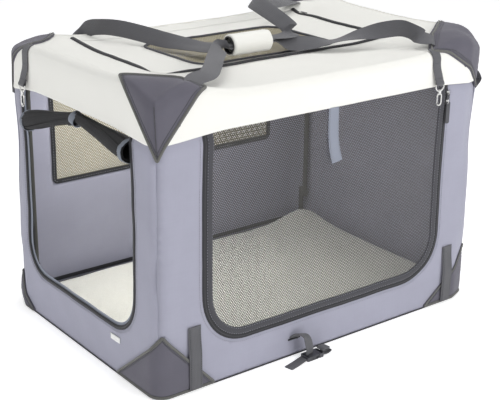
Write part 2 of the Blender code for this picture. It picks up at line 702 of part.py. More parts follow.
roll("door_roll_back", TIE_Y + SEAM / 2, TIE_Z, ROLL_R_IN, ROLL_Y_BACK, ROLL_Z_BACK, ROLL_R_BACK)
roll("door_roll_front", TIE_Y - SEAM / 2, TIE_Z, ROLL_R_IN, ROLL_Y_FRONT, ROLL_Z_FRONT,
     ROLL_R_FRONT)
tie_in, tie_out = ROLL_R_IN + SEAM + 0.0001, ROLL_R_IN + SEAM + 0.0001 + TIE_T
ring = [arc(ROLL_X, TIE_Z, r, 0, 350, 35) for r in (tie_out, tie_in)]
tie = strip("door_roll_tie", ring[0], ring[1], "y", TIE_Y - TIE_W / 2, TIE_Y + TIE_W / 2, WEBBING,
            True)
hem_x = left_x + CLOTH / 2
mid = (tie_in + tie_out) / 2
root = TIE_Z + math.sqrt(mid ** 2 - (ROLL_X - hem_x) ** 2)
tab = prism("tab", [(hem_x - TIE_T / 2, root), (hem_x + TIE_T / 2, root),
                    (hem_x + TIE_T / 2, BAND_Z - SEAM), (hem_x - TIE_T / 2, BAND_Z - SEAM)], "y",
            TIE_Y - TIE_W / 2, TIE_Y + TIE_W / 2, WEBBING)
boolean(tie, tab, "UNION")

# Holding strip for the rolled front door, hanging below the band.
strip_y = front_y - SEAM
line = [(strip_y, BAND_Z - SEAM), (strip_y, BAND_Z - STRIP_LEN * 0.6),
        (strip_y - STRIP_CURL / 3, BAND_Z - STRIP_LEN * 0.85),
        (strip_y - STRIP_CURL, BAND_Z - STRIP_LEN)]
outline = line + [(y - STRIP_T, z) for y, z in reversed(line)]
hold_strip = prism("hold_strip", outline, "x", STRIP_X - STRIP_W / 2, STRIP_X + STRIP_W / 2,
                   GREY_CLOTH)

# Carrying handle: two long webbings gathered in a padded grip.
flat_z = HEIGHT + SEAM + PATCH_T + SEAM + WEB_T / 2
grip_front, grip_back = GRIP_Y - GRIP_PITCH / 2, GRIP_Y + GRIP_PITCH / 2
end_l, end_r = GRIP_X - GRIP_LEN / 2 - GRIP_LEAD, GRIP_X + GRIP_LEN / 2 + GRIP_LEAD
out_l, out_r = end_l - 3 * GRIP_LEAD, end_r + 3 * GRIP_LEAD


def slack(end_x, end_y, grip_x, grip_y, shape):
    """Loose webbing from its sewn end to the grip: shares of the way along X and Y, and a rise."""
    line = [(end_x, end_y, flat_z)]
    for along_x, along_y, rise in shape:
        line.append((end_x + (grip_x - end_x) * along_x, end_y + (grip_y - end_y) * along_y,
                     flat_z + rise * WEB_RISE))
    return line


def through(y):
    """The straight stretch inside the grip."""
    return [(x, y, GRIP_Z) for x in (out_l, end_l, end_r, out_r)]


left_x_end, right_x_end = -LENGTH / 2 + WEB_END_X, LENGTH / 2 - WEB_END_X
back_y_end = WIDTH / 2 - WEB_END_Y
front_line = slack(left_x_end, -back_y_end, out_l, grip_front,
                   [(0.18, 0.095, 0.30), (0.446, 0.318, 0.83), (0.78, 0.737, 1.0)])
front_line += through(grip_front)
front_line += slack(right_x_end - WEB_END_SHORT, -back_y_end, out_r, grip_front,
                    [(0.158, 0.067, 0.77), (0.326, 0.207, 1.18), (0.476, 0.402, 0.95),
                     (0.644, 0.570, 0.51), (0.846, 0.793, 0.42)])[::-1]
front_side = [(0.3, -1, 0), (0.5, -1, 0.1), (0.6, -0.5, 0.6), (0, 0, 1), (0, 0, 1), (0, 0, 1),
              (0, 0, 1), (0, 0, 1), (0.2, 0.8, 0.5), (0.2, 0.9, 0.3), (0.3, 0.9, 0.3), (0.2, 1, 0.2),
              (0.2, 1, 0), (0.1, 1, 0)]
back_line = slack(left_x_end, back_y_end, out_l, grip_back,
                  [(0.17, 0.077, 0.57), (0.357, 0.168, 0.95), (0.509, 0.389, 1.0),
                   (0.571, 0.684, 0.77), (0.737, 0.906, 0.66)])
back_line += through(grip_back)
back_line += slack(right_x_end, back_y_end, out_r, grip_back,
                   [(0.196, 0.065, 0.63), (0.408, 0.212, 1.42), (0.65, 0.419, 2.07),
                    (0.801, 0.596, 1.95), (0.807, 0.802, 1.95), (0.885, 0.926, 1.30)])[::-1]
back_side = [(0.3, 1, 0), (0.7, 0.7, 0.1), (0.8, 0.3, 0.3), (0.7, 0, 0.6), (0.6, 0, 0.8),
             (0.4, 0.2, 0.9), (0, 0, 1), (0, 0, 1), (0, 0, 1), (0, 0, 1), (-0.3, 0.3, 1),
             (-0.7, 0.3, 0.7), (-0.9, 0.3, 0.4), (-0.7, 0.6, 0.3), (-0.6, 0.8, 0.1), (-0.6, 0.8, 0),
             (-0.2, 1, 0)]
ribbon("front_handle_web", front_line, front_side, HANDLE_WEB_W, WEB_T, WEBBING)
ribbon("back_handle_web", back_line, back_side, HANDLE_WEB_W, WEB_T, WEBBING)
turn = [(GRIP_R * math.cos(a), GRIP_R * math.sin(a)) for a in
        [2 * math.pi * (k + 0.5) / 20 for k in range(20)]]
hollow = (GRIP_R - GRIP_WALL) / GRIP_R
rings = [[(x, GRIP_Y + f * p, GRIP_Z + f * q) for p, q in turn] for x, f in
         ((GRIP_X - GRIP_LEN / 2, 1), (GRIP_X + GRIP_LEN / 2, 1),
          (GRIP_X + GRIP_LEN / 2, hollow), (GRIP_X - GRIP_LEN / 2, hollow))]
grip = lofted("handle_grip", rings, CREAM_CLOTH, True)


# Locks: a webbing end, a wire eye, a swivelling hook and its sprung gate.
class Frame:
    """A flat local frame: u across, n out of the face, z up, from an origin."""

    def __init__(self, origin, across, out):
        self.o, self.u, self.n = Vector(origin), Vector(across), Vector(out)

    def at(self, u, z, n=0.0):
        return self.o + self.u * u + self.n * n + Vector((0, 0, z))


def turned(name, frame, profile, mat, sides=12):
    """A solid turned about the frame's upright line; profile is (z, radius) pairs."""
    rings = []
    for z, r in profile:
        turn = [2 * math.pi * (k + 0.5) / sides for k in range(sides)]
        rings.append([frame.at(r * math.cos(a), z, r * math.sin(a)) for a in turn])
    return lofted(name, rings, mat)


def lock(prefix, frame):
    """frame's origin is the middle of the eye's upper bar."""
    w, h = EYE_W / 2, EYE_H
    bend = 0.004
    loop = [(-w + bend, 0), (w - bend, 0)]
    loop += arc(w - bend, -bend, bend, 90, 0, 3)[1:]
    loop += arc(0, -h + w, w, 0, -180, 10)
    loop += arc(-w + bend, -bend, bend, 180, 90, 3)[:-1]
    eye = pipe(prefix + "_lock_eye", [frame.at(*p) for p in loop], EYE_WIRE, BRIGHT_METAL, True, 8)
    top, low = -h + EYE_WIRE + SEAM, -h - SWIVEL_H
    boolean(eye, turned("barrel", frame, [(top, SWIVEL_R), (low, SWIVEL_R)], BRIGHT_METAL),
            "UNION")
    bore = SHANK_R + SHANK_FIT
    boolean(eye, turned("bore", frame, [(top + 0.01, bore), (low - 0.01, bore)], BRIGHT_METAL))
    head = top + SEAM
    hook_top = low - SEAM
    shank = turned("shank", frame, [(head + HEAD_H, HEAD_R * 0.7), (head + HEAD_H * 0.5, HEAD_R),
                                    (head, HEAD_R), (head, SHANK_R), (hook_top, SHANK_R),
                                    (hook_top, SWIVEL_R), (hook_top - 0.003, SWIVEL_R * 0.8)],
                   BRIGHT_METAL)
    hw, hz = HOOK_W / 2, hook_top - 0.0015
    line = [(-hw, hz - 0.0075)] + arc(-hw + 0.005, hz - 0.005, 0.005, 180, 90, 3)
    line += arc(hw - 0.005, hz - 0.005, 0.005, 90, 0, 3)
    line += arc(0, hz - HOOK_H + hw, hw, 0, -150, 9)
    hook = pipe(prefix + "_lock_hook", [frame.at(*p) for p in line], HOOK_WIRE, BRIGHT_METAL,
                sides=8)
    boolean(hook, shank, "UNION")
    nose = line[-1]
    gate_top, gate_low = hz - 0.0075 - GATE_FIT, nose[1] + HOOK_WIRE + GATE_FIT
    gate = pipe(prefix + "_lock_gate", [frame.at(-hw, gate_top), frame.at(-hw, gate_low)],
                GATE_R, BRIGHT_METAL, sides=8)
    pivot(eye, frame.o)
    pivot(hook, frame.at(0, low))
    pivot(gate, frame.at(-hw, gate_top))
    return [eye, hook, gate]


lock_out = SEAM + PATCH_T + SEAM
hang = lock_out + WEB_T / 2 + LOCK_STAND
front_frame = Frame((LOCK_X, front_y - hang, LOCK_Z), (1, 0, 0), (0, -1, 0))
side_frame = Frame((left_x - hang, LOCK_Y, LOCK_Z), (0, 1, 0), (-1, 0, 0))
front_lock = lock("front", front_frame)
side_lock = lock("side", side_frame)
web_low = EYE_WIRE + SEAM
# The front one is sewn to the band beside its patch, the other over the edge of its patch.
for name, frame, lean, back in (("front_lock_web", front_frame, -0.014, hang - SEAM - WEB_T / 2),
                                ("side_lock_web", side_frame, -0.006, LOCK_STAND)):
    top = HEIGHT - EDGE_R - LOCK_Z
    line = [(lean, top, -back), (lean * 0.5, top * 0.7, -back * 0.8),
            (0, web_low + 0.012, 0), (0, web_low + 0.006, 0), (0, web_low, 0)]
    ribbon(name, [frame.at(*p) for p in line], [frame.u] * 5, LOCK_WEB_W, WEB_T, WEBBING)
x = LENGTH / 2 + lock_out + WEB_T / 2
bulge = [(0, 1), (0.55, 0.58), (1, -0.17), (0.36, -0.83), (0, -1.08)]
ribbon("end_loop_web", [(x + p * LOOP_OUT, LOOP_Y, LOOP_Z + q * LOOP_HALF) for p, q in bulge],
       [(0, 1, 0)] * 5, LOCK_WEB_W, WEB_T, WEBBING, LOOP_HALF / 3)


# Zip sliders and pulls.
def slider(prefix, place, pull_len, pull_w):
    """place(a, b, h) gives a point a across the zip, b along it and h above the tape."""
    w, l, h = SLIDER_W / 2, SLIDER_L / 2, SLIDER_H
    outline = [(-w * 0.55, -l), (w * 0.55, -l), (w, l * 0.2), (w, l), (w * 0.3, l * 0.8),
               (-w * 0.3, l * 0.8), (-w, l), (-w, l * 0.2)]
    rings = [[place(a, b, z) for a, b in outline] for z in (SEAM, h)]
    body = lofted(prefix + "_slider", rings, BRIGHT_METAL)
    bridge = arc(0, h - BAIL_SUNK, BAIL_R, 0, 180, 6)
    bail = pipe("bail", [place(0, p, q) for p, q in bridge], BAIL_WIRE, BRIGHT_METAL, sides=6)
    boolean(body, bail, "UNION")
    h0 = h + PULL_PLAY
    near = -min(pull_w, SLIDER_W) / 2
    far, chop = near + pull_w, pull_w / 4
    plate = [(near, PULL_BAR / 2), (near, -pull_len + chop), (near + chop, -pull_len),
             (far - chop, -pull_len), (far, -pull_len + chop), (far, -chop * 0.6),
             (BAIL_R, PULL_BAR / 2)]
    rings = [[place(a, b, z) for a, b in plate] for z in (h0, h0 + PULL_T)]
    pull = lofted(prefix + "_pull", rings, ZIP_TAPE)
    wide, deep_end = BAIL_WIRE * 2, -BAIL_R - BAIL_WIRE * 2
    slot = [(-wide, deep_end), (wide, deep_end), (wide, -PULL_BAR / 2), (-wide, -PULL_BAR / 2)]
    hole = [[place(a, b, z) for a, b in slot] for z in (h0 - 0.002, h0 + PULL_T + 0.002)]
    boolean(pull, lofted("hole", hole, ZIP_TAPE))
    pivot(pull, place(0, 0, h0 + PULL_T / 2))
    return body, pull


zip_x = FRONT_X1 - ZIP_W / 2
tape_y = front_y - TAPE_PROUD


def on_front(x, z):
    return lambda a, b, h: (x + a, tape_y - h, z + b)


lower = slider("lower", on_front(zip_x, LOWER_SLIDER_Z), LOWER_PULL, LOWER_PULL_W)
upper = slider("upper", on_front(zip_x, UPPER_SLIDER_Z), UPPER_PULL, TOP_PULL_W)
top_zip_x = TOP_X1 - ZIP_W / 2


def on_top(a, b, h):
    return (top_zip_x - a, TOP_SLIDER_Y + b, HEIGHT + TAPE_PROUD + h)


topmost = slider("top", on_top, TOP_PULL, TOP_PULL_W)

# Packing strap in front of the base, with a side-release buckle.
bx, by, bz = BUCKLE_X, front_y - BUCKLE_OUT, BUCKLE_T / 2 + 0.0003
bw, wall_t = BUCKLE_W / 2, 0.0020


def box(name, x0, x1, y0, y1, z0, z1, mat):
    return prism(name, [(x0, y0), (x1, y0), (x1, y1), (x0, y1)], "z", z0, z1, mat)


female = prism("buckle_socket", round_rect(bx - SOCKET_L, bx, by - bw, by + bw, 0.003, 3), "z",
               bz - BUCKLE_T / 2, bz + BUCKLE_T / 2, BUCKLE_PLASTIC)
boolean(female, box("hollow", bx - SOCKET_DEEP, bx + 0.01, by - bw + wall_t, by + bw - wall_t,
                    bz - BUCKLE_T / 2 + wall_t, bz + BUCKLE_T / 2 - wall_t, BUCKLE_PLASTIC))
boolean(female, box("side_gaps", bx - SOCKET_DEEP * 0.8, bx + 0.01, by - bw - 0.01,
                    by + bw + 0.01, bz - BUCKLE_T / 2 + wall_t, bz + BUCKLE_T / 2 - wall_t,
                    BUCKLE_PLASTIC))
boolean(female, box("web_slot", bx - SOCKET_L + 0.0025, bx - SOCKET_L + 0.0060, by - bw + 0.003,
                    by + bw - 0.003, -0.01, 0.03, BUCKLE_PLASTIC))
prong_t = BUCKLE_T / 2 - wall_t - SEAM * 2
inside = bw - wall_t - SEAM * 2
reach = SOCKET_DEEP - 0.002
line = [(0.0006, -inside), (-reach * 0.42, -inside), (-reach * 0.46, -bw), (-reach * 0.72, -bw),
        (-reach, -inside + 0.002), (-reach * 0.8, -inside + 0.0028), (-reach * 0.1, -inside + 0.0028),
        (-reach * 0.1, -0.002), (-reach * 0.8, -0.002), (-reach * 0.8, 0.002),
        (-reach * 0.1, 0.002), (-reach * 0.1, inside - 0.0028), (-reach * 0.8, inside - 0.0028),
        (-reach, inside - 0.002), (-reach * 0.72, bw), (-reach * 0.46, bw),
        (-reach * 0.42, inside), (0.0006, inside)]
male = prism("buckle_prongs", [(bx + a, by + b) for a, b in line], "z", bz - prong_t,
             bz + prong_t, BUCKLE_PLASTIC)
base = prism("plug_base", round_rect(bx + 0.0003, bx + PLUG_L, by - bw, by + bw, 0.003, 3), "z",
             bz - BUCKLE_T / 2, bz + BUCKLE_T / 2, BUCKLE_PLASTIC)
boolean(male, base, "UNION")
boolean(male, box("plug_slot", bx + PLUG_L - 0.006, bx + PLUG_L - 0.0025, by - bw + 0.003,
                  by + bw - 0.003, -0.01, 0.03, BUCKLE_PLASTIC))
seat = bz + BUCKLE_T / 2 + SEAM
strap = [(bx - 0.036, front_y - SEAM - WEB_T / 2, 0.046), (bx - 0.032, front_y - 0.014, 0.056),
         (bx - 0.022, front_y - 0.026, 0.050), (bx - 0.016, by, seat + 0.014),
         (bx - 0.016, by, seat + 0.007), (bx - 0.016, by, seat)]
twist = [(1, 0, -0.3), (1, 0.1, -0.3), (1, 0.2, -0.3), (1, 0.2, 0), (1, 0.2, 0), (1, 0.2, 0)]
ribbon("pack_strap", strap, twist, PACK_WEB_W, WEB_T, WEBBING, 0.012)

# Assembly: every moving group has its origin, or its empty, on the axis that it moves on.
objects = bpy.data.objects
FRAME_NAMES = ["left_hoop", "right_hoop"]
TOP_NAMES = ["top_frame", "left_bar_clip", "right_bar_clip", "top_cover", "valance",
             "top_door_zip", "front_handle_web", "back_handle_web", "front_lock_web",
             "side_lock_web", "end_loop_web", "door_roll_back", "door_roll_front",
             "door_roll_tie", "upper_slider", *TOP_PATCHES]
for name, sx in zip(FRAME_NAMES, (-1, 1)):
    pivot(objects[name], (sx * UPRIGHT_X, 0, PIVOT_Z))
pivot(fleece_mat, (0, 0, mat_low))
pivot(objects["handle_grip"], (GRIP_X, GRIP_Y, GRIP_Z))
pivot(hold_strip, (STRIP_X, strip_y - STRIP_T, BAND_Z))
pivot(male, (bx, by, bz))
for piece, spot in ((lower[0], on_front(zip_x, LOWER_SLIDER_Z)(0, 0, 0)), (topmost[0],
                                                                        on_top(0, 0, 0))):
    pivot(piece, spot)
top = empty("top", (0, 0, HEIGHT))
front_door = empty("front_door", (0, front_y, BAND_Z - SEAM))
top_door = empty("top_door", (0, TOP_Y1 - 2 * SEAM, HEIGHT))
hold(front_door, objects["front_door_mesh"], objects["front_door_binding"])
hold(top_door, top_flap, win_bind, win_mesh)
hold(top, top_door, objects["handle_grip"], hold_strip, front_lock[0], side_lock[0], lower[0],
     topmost[0], upper[1], *[objects[n] for n in TOP_NAMES])
for eye, hook, gate in (front_lock, side_lock):
    hold(eye, hook)
    hold(hook, gate)
hold(lower[0], lower[1])
hold(topmost[0], topmost[1])
base = empty("base", (0, 0, 0))
for obj in list(objects):
    if obj is not base and obj.parent is None and not obj.hide_render:
        hold(base, obj)
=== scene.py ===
# %% [markdown]
# # Dressing a folding pet carrier
# The real carrier is a tube frame inside a sewn cover. Lavender-grey walls hang from a cream top
# with a deep band round it, and charcoal patches cap the eight corners. The CAD frame gives
# the overall sizes and every moving body. This script sews the cloth over it, piece by piece.
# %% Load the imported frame
import json
import math

import bmesh
import bpy
import numpy as np
from mathutils import Matrix, Vector, noise
from mathutils.geometry import delaunay_2d_cdt


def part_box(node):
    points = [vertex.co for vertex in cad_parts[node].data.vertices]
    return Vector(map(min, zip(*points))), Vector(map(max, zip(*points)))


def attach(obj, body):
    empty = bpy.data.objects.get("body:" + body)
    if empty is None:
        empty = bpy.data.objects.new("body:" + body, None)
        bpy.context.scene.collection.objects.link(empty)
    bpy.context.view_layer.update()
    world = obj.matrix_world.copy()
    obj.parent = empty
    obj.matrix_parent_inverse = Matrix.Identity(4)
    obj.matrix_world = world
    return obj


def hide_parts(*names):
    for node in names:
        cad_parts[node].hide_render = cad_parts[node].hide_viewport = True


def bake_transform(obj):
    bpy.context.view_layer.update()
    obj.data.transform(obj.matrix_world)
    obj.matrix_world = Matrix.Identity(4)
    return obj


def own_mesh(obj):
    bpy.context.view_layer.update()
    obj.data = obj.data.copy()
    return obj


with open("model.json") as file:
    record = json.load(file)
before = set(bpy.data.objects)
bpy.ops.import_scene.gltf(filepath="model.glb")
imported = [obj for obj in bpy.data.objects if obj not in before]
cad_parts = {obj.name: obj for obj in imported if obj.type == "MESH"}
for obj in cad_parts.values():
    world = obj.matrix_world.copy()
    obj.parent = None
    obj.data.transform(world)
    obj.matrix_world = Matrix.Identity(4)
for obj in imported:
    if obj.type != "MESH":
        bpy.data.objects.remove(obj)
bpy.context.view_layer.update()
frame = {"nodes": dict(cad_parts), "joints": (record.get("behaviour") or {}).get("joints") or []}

# %% [markdown]
# ## Camera
# The camera was fitted to the corners of the carrier in the photograph, so it comes first:
# everything after it can be judged in the right view. The lens is long, which keeps the upright
# edges nearly parallel. The angles are in degrees, the lens and the sensor in millimetres.
# %% Camera
AZIMUTH, ELEVATION, ROLL = -37.741, 20.195, 0.813
LENS, SENSOR = 83.26, 36
AWAY = 2.7296
LOOK_AT = Vector((0.0064, -0.0075, 0.247))


def place_camera():
    a, e = math.radians(AZIMUTH), math.radians(ELEVATION)
    back = Vector((math.sin(a) * math.cos(e), -math.cos(a) * math.cos(e), math.sin(e)))
    data = bpy.data.cameras.new("camera")
    data.lens, data.sensor_width = LENS, SENSOR
    camera = bpy.data.objects.new("camera", data)
    camera.rotation_mode = "QUATERNION"
    camera.rotation_quaternion = ((-back).to_track_quat("-Z", "Y")
                                  @ Matrix.Rotation(math.radians(ROLL), 3, "Z").to_quaternion())
    camera.location = LOOK_AT + back * AWAY
    bpy.context.collection.objects.link(camera)
    bpy.context.scene.camera = camera
    return camera


camera = place_camera()
bpy.context.scene.view_settings.view_transform = "Standard"
print("camera at", [round(v, 3) for v in camera.location])

# %% [markdown]
# ## Shader sums as Python
# Node trees are easier to read as sums. `Wire` holds one output socket, and each operator on it
# adds the Math node for that sum. `Nodes` holds a tree, and its `node` method makes any other
# node: first its settings, then its sockets. A `Finish` is such a tree for one material.
# %% A wire that adds its own Math nodes
class Wire:
    """One output socket in a tree of nodes, which takes part in sums."""

    def __init__(self, nodes, socket):
        self.nodes, self.socket = nodes, socket

    def sum(self, operation, *values):
        return self.nodes.node("ShaderNodeMath", {"operation": operation}, dict(enumerate(values)))

    def __add__(self, other):
        return self.sum("ADD", self, other)

    def __sub__(self, other):
        return self.sum("SUBTRACT", self, other)

    def __rsub__(self, other):
        return self.sum("SUBTRACT", other, self)

    def __mul__(self, other):
        return self.sum("MULTIPLY", self, other)

    def __truediv__(self, other):
        return self.sum("DIVIDE", self, other)

    __radd__, __rmul__ = __add__, __mul__

    def floor(self):
        return self.sum("FLOOR", self)

    def fraction(self):
        return self.sum("FRACT", self)

    def size(self):
        return self.sum("ABSOLUTE", self)

    def sine(self):
        return self.sum("SINE", self)

    def greater(self, other):
        return self.sum("MAXIMUM", self, other)

    def ramp(self, low, high, start=0.0, end=1.0):
        """Rises smoothly from start to end as the wire goes from low to high."""
        return self.nodes.node("ShaderNodeMapRange", {"interpolation_type": "SMOOTHSTEP"},
                               {0: self, 1: low, 2: high, 3: start, 4: end})


# %% A tree that makes any node
class Nodes:
    """A tree of nodes, written as calls."""

    def __init__(self, tree):
        self.tree = tree
        tree.nodes.clear()

    def node(self, kind, settings=(), sockets=(), output=0):
        made = self.tree.nodes.new(kind)
        for name, value in dict(settings).items():
            setattr(made, name, value)
        for name, value in dict(sockets).items():
            self.feed(made.inputs[name], value)
        return Wire(self, made.outputs[output]) if made.outputs else None

    def feed(self, socket, value):
        if isinstance(value, Wire):
            self.tree.links.new(value.socket, socket)
        else:
            socket.default_value = value

    def beside(self, wire, output):
        """Another output of the node that a wire comes from."""
        return Wire(self, wire.socket.node.outputs[output])


# %% A finish for one material
class Finish(Nodes):
    """One material, with its surface and the patterns that feed it."""

    def __init__(self, name, **fixed):
        self.material = bpy.data.materials.new(name)
        self.material.use_nodes = True
        super().__init__(self.material.node_tree)
        self.surface = self.tree.nodes.new("ShaderNodeBsdfPrincipled")
        self.node("ShaderNodeOutputMaterial", (), {0: Wire(self, self.surface.outputs[0])})
        for socket, value in fixed.items():
            self.set(socket.replace("_", " "), value)

    def set(self, name, value):
        self.feed(self.surface.inputs[name], value)

    def blend(self, factor, first, second):
        """A colour between two colours."""
        sockets = {0: factor, 6: first, 7: second}
        return self.node("ShaderNodeMix", {"data_type": "RGBA"}, sockets, 2)

    def along(self, name="sewn"):
        """The piece's own pattern, in metres: its place, and that along and across the cloth."""
        place = self.node("ShaderNodeAttribute", {"attribute_name": name}, output=1)
        split = self.node("ShaderNodeSeparateXYZ", (), {0: place})
        return place, split, self.beside(split, 1)

    def in_piece(self):
        """Places in the piece's own space, for what has no sewn pattern."""
        return self.node("ShaderNodeTexCoord", (), (), 3)

    def cloud(self, place, scale, detail=2.0, rough=0.5):
        return self.node("ShaderNodeTexNoise", (), {"Vector": place, "Scale": scale,
                                                    "Detail": detail, "Roughness": rough})

    def stretch(self, place, by):
        return self.node("ShaderNodeVectorMath", {"operation": "MULTIPLY"}, {0: place, 1: by})

    def bump(self, height, strength, distance):
        self.set("Normal", self.node("ShaderNodeBump", (), {"Height": height, "Strength": strength,
                                                            "Distance": distance}))


def shade(hexes, alpha=1.0):
    """A colour written as on screen, given to a shader as light."""
    values = [int(hexes[i:i + 2], 16) / 255 for i in (0, 2, 4)]
    return (*[v / 12.92 if v < 0.04045 else ((v + 0.055) / 1.055) ** 2.4 for v in values], alpha)


def deeper(colour, by):
    """A colour made darker, or lighter with more than one."""
    return (*[v * by for v in colour[:3]], 1.0)


print("white as light:", [round(v, 3) for v in shade("FFFFFF")])

# %% [markdown]
# ## Studio
# A seamless floor catches the soft shadow. Rays that go straight to the camera, or come off metal,
# see plain white behind it, so the cream cloth is judged against white, as in the photograph.
# The floor glows a little, so that it nearly reaches white without more light on the carrier.
# %% Floor
PAPER_GLOW = 0.52
PAPER_LIGHT, PAPER_DARK = (0.92, 0.92, 0.92, 1), (0.89, 0.89, 0.89, 1)


def paper_floor():
    bpy.ops.mesh.primitive_plane_add(size=30, location=(0, 0, 0))
    floor = bpy.context.object
    floor.name = "studio_floor"
    paper = Finish("studio_paper", Roughness=0.95)
    speck = paper.cloud(paper.in_piece(), 60.0)
    paper.set("Base Color", paper.blend(speck, PAPER_LIGHT, PAPER_DARK))
    paper.set("Emission Color", (1, 1, 1, 1))
    paper.set("Emission Strength", PAPER_GLOW)
    floor.data.materials.append(paper.material)
    return floor


print("floor:", paper_floor().dimensions.x, "m wide")

# %% Sky
SKY, SKY_POWER = (0.97, 0.98, 1, 1), 0.42
WHITE, WHITE_POWER = (1, 1, 1, 1), 1.0


def studio_sky():
    world = bpy.data.worlds.new("studio_sky")
    bpy.context.scene.world = world
    world.use_nodes = True
    nodes = Nodes(world.node_tree)
    straight = nodes.node("ShaderNodeLightPath")
    off_metal = nodes.beside(straight, "Is Glossy Ray")
    through = nodes.beside(straight, "Is Transmission Ray")
    seen = nodes.beside(straight, "Is Camera Ray").greater(off_metal.greater(through))
    sky = nodes.node("ShaderNodeBackground", (), {0: SKY, 1: SKY_POWER})
    white = nodes.node("ShaderNodeBackground", (), {0: WHITE, 1: WHITE_POWER})
    nodes.node("ShaderNodeOutputWorld", (),
               {0: nodes.node("ShaderNodeMixShader", (), {0: seen, 1: sky, 2: white})})
    return world


print("sky nodes:", len(studio_sky().node_tree.nodes))

# %% [markdown]
# ## Lamps
# Three broad round lamps give the soft, even light of a catalogue studio. The thin cream cover
# lets light through from above, so a wide dim lamp hangs under it, where the camera can't see it.
# %% Lamps
LAMPS = (("key", (0.8, -3.1, 2.3), 2.2, 52.0),
         ("fill", (-3.2, -0.6, 1.8), 2.4, 11.0),
         ("top", (0.2, 0.4, 3.4), 2.6, 34.0))
AIM = Vector((0, 0, 0.3))
UNDER_COVER, UNDER_WIDE, UNDER_DEEP, UNDER_POWER = (-0.16, 0, 0.57), 0.50, 0.48, 2.6


def hang_lamp(name, light, place):
    lamp = bpy.data.objects.new(name, light)
    lamp.location = place
    bpy.context.collection.objects.link(lamp)
    return lamp


for name, place, size, power in LAMPS:
    light = bpy.data.lights.new(name, "AREA")
    light.shape, light.size, light.energy = "DISK", size, power
    lamp = hang_lamp(name, light, place)
    lamp.rotation_euler = (AIM - Vector(place)).to_track_quat("-Z", "Y").to_euler()
glow = bpy.data.lights.new("light_through_cover", "AREA")
glow.shape, glow.size, glow.size_y = "RECTANGLE", UNDER_WIDE, UNDER_DEEP
glow.energy = UNDER_POWER
hang_lamp("light_through_cover", glow, UNDER_COVER).visible_camera = False
print("lamps:", len(bpy.data.lights))

# %% [markdown]
# ## The carrier's skin
# Every sewn piece lies on one rounded shell, and the frame's boxes give its size. The taut cover
# stands a little higher over the frame's corners and ends than in its middle, and the rear left
# corner is slack. Each such swell is a height and a reach, added as a soft bell. `stand` gives
# the height they make together.
# %% Sizes of the shell
low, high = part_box("valance")
HALF_X, HALF_Y, TOP, BAND = high.x, high.y, high.z, low.z
CORNER, EDGE = 0.060, 0.018
print("shell:", [round(v, 3) for v in (2 * HALF_X, 2 * HALF_Y, TOP)], "band from", round(BAND, 3))

# %% The cover's height
SAG, SAG_INSET = 0.007, 0.12
CORNER_LIFT, LIFT_REACH = 0.012, 0.160
END_LIFT, END_REACH = 0.025, 0.110
RISE, RISE_AT, RISE_REACH = 0.012, (0.098, 0.068), 0.060
CORNER_DROP, DROP_REACH = 0.034, 0.055
SLACK, SLACK_REACH = 0.85, 0.130
SLIDER_FLAT, SLIDER_GAP = 0.045, 0.0006
slider_low, slider_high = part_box("top_slider")
slider_at = (slider_low + slider_high) / 2


def smooth(values, start, end):
    """Rises from 0 to 1 between start and end, without a corner."""
    t = np.clip((np.asarray(values, float) - start) / (end - start), 0, 1)
    return t * t * (3 - 2 * t)


def bell(away, reach):
    return np.exp(-(away / reach) ** 2)


def stand(x, y):
    """How far the cover stands above its flat level; round the slider it lies flat."""
    dx, dy = np.maximum(HALF_X - np.abs(x), 0), np.maximum(HALF_Y - np.abs(y), 0)
    away = np.hypot(dx, dy)
    raised = (CORNER_LIFT * bell(away, LIFT_REACH) + END_LIFT * bell(dx, END_REACH)
              + RISE * bell(np.hypot(dx - RISE_AT[0], dy - RISE_AT[1]), RISE_REACH)
              - CORNER_DROP * bell(away, DROP_REACH))
    slack = SLACK * bell(np.hypot(x + HALF_X, y - HALF_Y), SLACK_REACH)
    inside = smooth(np.minimum(dx, dy), 0.0, SAG_INSET)
    level = raised * (1 - slack) - SAG * (0.35 + 0.65 * inside)
    near = bell(np.hypot(x - slider_at.x, y - slider_at.y), SLIDER_FLAT)
    return level * (1 - near) - SLIDER_GAP * near


print("cover height at the middle and an end:", stand(0, 0).round(4), stand(HALF_X, 0).round(4))

# %% [markdown]
# ## Corners, and the skin as a distance
# A wrapped corner isn't a perfect arc: the cloth is cut in flat lengths. The corner nearest the
# camera is pulled out to a ridge, and the others cut across a little. `depth` tells how far a
# point is outside the whole shell, and `settle` walks a point along that distance. So a patch,
# a strap or a zip can be laid on the skin from a rough place.
# %% The corners
RIDGE, CHORD = 0.030, 0.95


def facet(turn, near):
    """How far a corner stands outside a plain arc. The near one is pulled out to a ridge."""
    turn = np.clip(turn, 0, math.pi / 2)
    short = np.minimum(turn, math.pi / 2 - turn)
    off = CORNER - RIDGE
    flat = CORNER / np.cos(short)
    bend = off * (np.cos(turn) + np.sin(turn)) + np.sqrt(
        np.maximum(RIDGE ** 2 - off ** 2 * (1 - np.sin(2 * turn)), 0))
    ridge = np.where(flat * np.sin(short) < off, flat, bend) - CORNER
    chord = CORNER * (math.cos(math.pi / 8) / np.cos(short - math.pi / 8) - 1)
    return np.where(near, ridge, CHORD * chord)


print("ridge at the near corner:", facet(math.pi / 4, True).round(4), "m")

# %% The skin as a distance
STAND_FROM, STAND_TO = 0.555, 0.625


def around_corner(u, v, radius):
    """Distance from a rounded right-angled corner."""
    return np.hypot(np.maximum(u, 0), np.maximum(v, 0)) + np.minimum(np.maximum(u, v), 0) - radius


